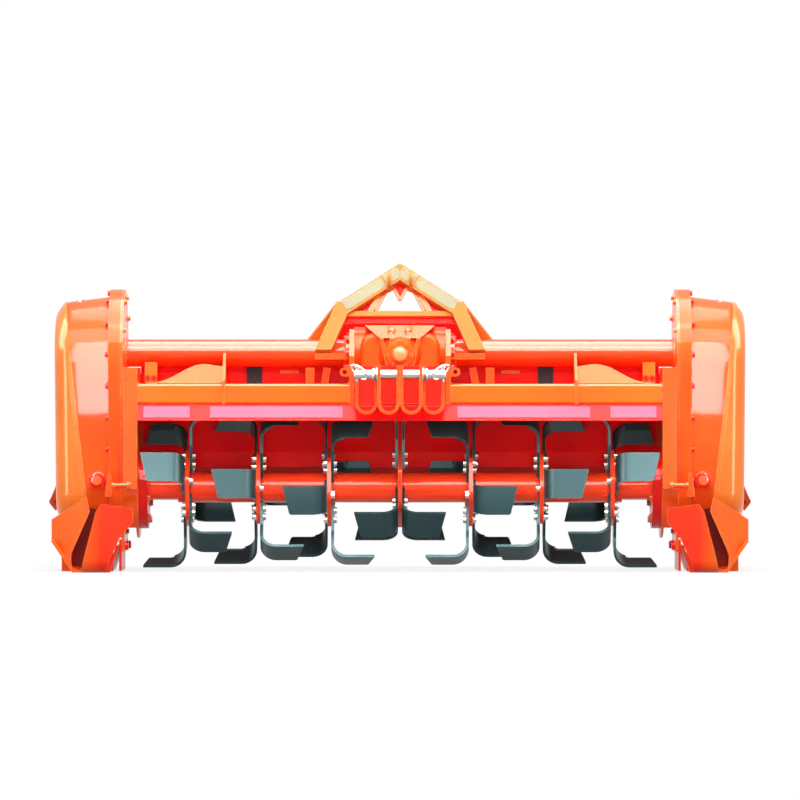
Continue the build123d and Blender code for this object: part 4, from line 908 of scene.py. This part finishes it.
# %% Flat bars round the mast's window, on the beam and on the deck
def flat_bar(start, end, width, thick, face):
    """A rectangle with cut outer corners, carried between two points; face is its outer side."""
    start, end = np.asarray(start, float), np.asarray(end, float)
    along = (end - start) / np.linalg.norm(end - start)
    face = np.asarray(face, float)
    out = face - along * (face @ along)
    out /= np.linalg.norm(out)
    wide = np.cross(along, out)
    w, cut = width / 2, min(0.0008, thick / 2.5)
    section = [(-w, 0), (w, 0), (w, thick - cut), (w - cut, thick), (-w + cut, thick),
               (-w, thick - cut)]
    ring = np.array([a * wide + b * out for a, b in section])
    return np.concatenate([start + ring, end + ring]), capped_faces(2, len(section))


PANEL_FOOT, PANEL_AHEAD = 0.732, -0.0305  # the panel stands behind the bars' face
window = [(0.072, 0.0525), (0.042, 0.1095), (0.019, 0.1200), (0.0, 0.0845)]
window = [on_mast((x, (z + PANEL_FOOT - MAST_FOOT[1]) / cos(LEAN)), PANEL_AHEAD)
          for x, z in window]
rim_bars = [flat_bar(a, b, 0.009, 0.007, MAST_FACE) for a, b in zip(window[:-1], window[1:])]
strut = flat_bar(on_mast((0.0895, 0.128), PANEL_AHEAD), on_mast((0.0600, 0.182), PANEL_AHEAD),
                 0.017, 0.010, MAST_FACE)
add_piece("window_rims", both_sides(join(rim_bars + [strut])), orange_enamel)

beam_flange = flat_bar((0.001, -0.0175, 0.5895), (0.776, -0.0175, 0.5895), 0.004, 0.0225, UP)
add_piece("beam_flange", both_sides(beam_flange), hood_enamel)

braces = [flat_bar((0.268, -0.1150, 0.500), (0.268, -0.1150, 0.606), 0.026, 0.008, AHEAD),
          flat_bar((0.236, -0.1130, 0.500), (0.216, -0.1130, 0.606), 0.022, 0.008, AHEAD)]
add_piece("deck_braces", both_sides(join(braces)), orange_enamel)
print(len(rim_bars), "rim bars and", len(braces), "braces a side")

# %% Pink strips on the hood's lip: tape and painted reflection
LIP_LOW, LIP_HIGH = np.array([-0.272636, 0.450]), np.array([-0.250636, 0.498])
STRIP_SPANS = ((0.170, 0.562), (0.622, 0.758))
# Partly painted reflection: the strips' pink stands in for the sky reflected on the red lip, over
# pink tape.
pink_tape_and_reflection = finish("pink_tape_and_reflection", (0.84, 0.125, 0.245), (0.80, 0.10, 0.21), (1.0, 0.4, 0.5),
                   0.2, 0.40, 0.12, 0.05, coat=0.04, coat_rough=0.10, specular=0.06)
lip_way = (LIP_HIGH - LIP_LOW) / np.linalg.norm(LIP_HIGH - LIP_LOW)
lip_face = np.array([0, -lip_way[1], lip_way[0]])
strip_y, strip_z = (LIP_LOW + LIP_HIGH) / 2 + lip_way * 0.0005 - (0.0004, 0)
strips = [flat_bar((start, strip_y, strip_z), (end, strip_y, strip_z), 0.036, 0.0012, lip_face)
          for start, end in STRIP_SPANS]
add_piece("lip_strips", both_sides(join(strips)), pink_tape_and_reflection)
print(2 * len(strips), "strips placed")

# %% [markdown]
# ## The trailing board's rims and the skids' braces
# The flared ends of the trailing board are stiffened by a folded rim, painted the machine's
# orange, while the board itself wears a deep red as painted shade. The rim swings with the
# board, so it rides on the board's body. Inside each skid's nose an upright brace closes the
# slot between the two faces; it is painted a near-black red as painted shade for the dark slot.

# %% Rims that ride on the board, and skid braces
BOARD_KNEE, BOARD_TIP = (0.305364, 0.2875), (0.380636, 0.1725)  # y, z of the lower slope
SLOPE_FACE, RIM_AHEAD = (0, -0.837, -0.548), 0.0062
WING_LINE = [(1.0150, 0.300), (1.0665, 0.1985), (1.0500, 0.1765)]  # x, z along a flared end


def on_board(x, z):
    """A point on the lower slope of the board at this height, ahead of its front face."""
    slope = (BOARD_TIP[0] - BOARD_KNEE[0]) / (BOARD_KNEE[1] - BOARD_TIP[1])
    return np.array([x, BOARD_KNEE[0] + (BOARD_KNEE[1] - z) * slope - RIM_AHEAD, z])


wing_points = [on_board(x, z) for x, z in WING_LINE]
wing = [flat_bar(wing_points[0], wing_points[1], 0.015, 0.004, SLOPE_FACE),
        flat_bar(wing_points[1], wing_points[2], 0.013, 0.004, SLOPE_FACE)]
add_piece("wing_rims", both_sides(join(wing)), orange_enamel, "trailing_board")

# Painted shade: a near-black red for the brace that fills the dark slot inside each skid's nose.
painted_shade_red = enamel("painted_shade_red", (0.16, 0.010, 0.008), (0.07, 0.008, 0.006),
                    edge=(0.5, 0.06, 0.03), edge_amount=0.4, coat=0.05, specular=0.15,
                    tint=(1, 0.18, 0.10))
skid_shade_brace = flat_bar((0.943, -0.2050, 0.012), (0.903, -0.2050, 0.186), 0.074, 0.006, AHEAD)
add_piece("skid_shade_braces", both_sides(skid_shade_brace), painted_shade_red)
print("rims and braces placed")

# %% [markdown]
# ## Small turned parts
# The cap that protects the splined shaft and the plugs on the gearbox are turned on a lathe,
# so each is only a profile. The cap turns with the shaft and rides on it.

# %% Shaft cap and gearbox plugs
INPUT_Z = 0.645  # height of the input shaft's axis
# Partly painted highlight: the cap's light amber is its own colour lightened for the light that the
# shaft's nose catches.
amber_cap_and_highlight = finish("amber_cap_and_highlight", (0.93, 0.30, 0.05), (0.88, 0.24, 0.04), (1.0, 0.6, 0.25),
                   0.3, 0.30, 0.12, 0.12, coat=0.2, coat_rough=0.1, specular=0.5)
cap_profile = [(0.0190, 0.000), (0.0235, 0.001), (0.0240, 0.004), (0.0225, 0.008),
               (0.0222, 0.052), (0.0232, 0.054), (0.0232, 0.060), (0.0222, 0.062),
               (0.0215, 0.077), (0.0185, 0.0825), (0.0090, 0.0845), (0.0020, 0.0850)]
cap = placed(lathe(cap_profile, 36), (0, -0.2395, INPUT_Z), AHEAD)
ribs = [flat_bar((x, -0.249, z), (x, -0.292, z), 0.0035, 0.0032, (x, 0, z - INPUT_Z))
        for x, z in circle(6, 0.0215, (0, INPUT_Z), 0.4)]
add_piece("shaft_cap", join([cap, *ribs]), amber_cap_and_highlight, body="input_shaft", smooth=40)

plug = lathe([(0.0105, 0), (0.0110, 0.001), (0.0110, 0.004), (0.0085, 0.005),
              (0.0085, 0.009), (0.0070, 0.010), (0.0030, 0.0102)], 24)
shoulder_way = (0, -0.66, 0.75)  # the way the gearbox's shoulders look
plug = placed(plug, (0.0240, -0.1965, 0.7135), shoulder_way)
add_piece("gearbox_plugs", both_sides(plug), orange_enamel, smooth=35)
print("cap with", len(ribs), "ribs and two plugs placed")

# %% [markdown]
# ## The last bolts, and the breathers
# The gearbox nose, the headstock plates, the top tubes' collars, the lugs and the skids'
# tongues are bolted too. Rings of bolts come from the circle and single ones from a list of
# places, and all of them are the same head in another size. The breather on top of each
# casing is one more profile on the lathe.

# %% Bolts of the gearbox, headstock, collars, lugs and skids
nose_places = [(x, -0.2384, z) for x, z in circle(6, 0.0335, (0, INPUT_Z))]
add_piece("nose_bolts", bolts(nose_places, AHEAD, hex_head(0.009, 0.005, 0.0062)),
          orange_enamel)

head_places = [(0.150, y, z) for y, z in (
    (-0.2205, 0.606), (-0.2185, 0.648), (-0.1950, 0.690), (-0.0480, 0.700),
    (-0.0440, 0.620), (-0.0470, 0.560), (-0.1300, 0.700))]
collar_places = [(0.162, y, z) for y, z in circle(8, 0.0475, TOP_TUBE, 0.2)]
lug_places = [(x, -0.2166, 0.5745) for x in (0.729, 0.748)]
skid_places = [(PLATE_X, y, 0.076) for y in (-0.135, 0.030)]
for name, places, along, size, paint, slot in (
        ("headstock_bolts", head_places, OUTWARD, (0.019, 0.010, 0.0135), red_enamel, "red_paint"),
        ("collar_bolts", collar_places, OUTWARD, (0.0095, 0.006, 0.0060), orange_enamel,
         "orange_paint"),
        ("lug_bolts", lug_places, AHEAD, (0.013, 0.007, 0.0092), red_enamel, "red_paint"),
        ("skid_bolts", skid_places, INWARD, (0.022, 0.011, 0.0155), red_enamel, "red_paint")):
    add_piece(name, both_sides(bolts(places, along, hex_head(*size))), paint)
    print(name, 2 * len(places))

# %% Casing breathers
breather = lathe([(0.0050, 0), (0.0050, 0.004), (0.0095, 0.005), (0.0105, 0.009),
                  (0.0095, 0.014), (0.0060, 0.016), (0.0020, 0.0163)], 24)
breather = placed(breather, (0.955, TOP_TUBE[0], 0.7985), UP)
add_piece("casing_breathers", both_sides(breather), bright_zinc, smooth=45)
print("two breathers placed")
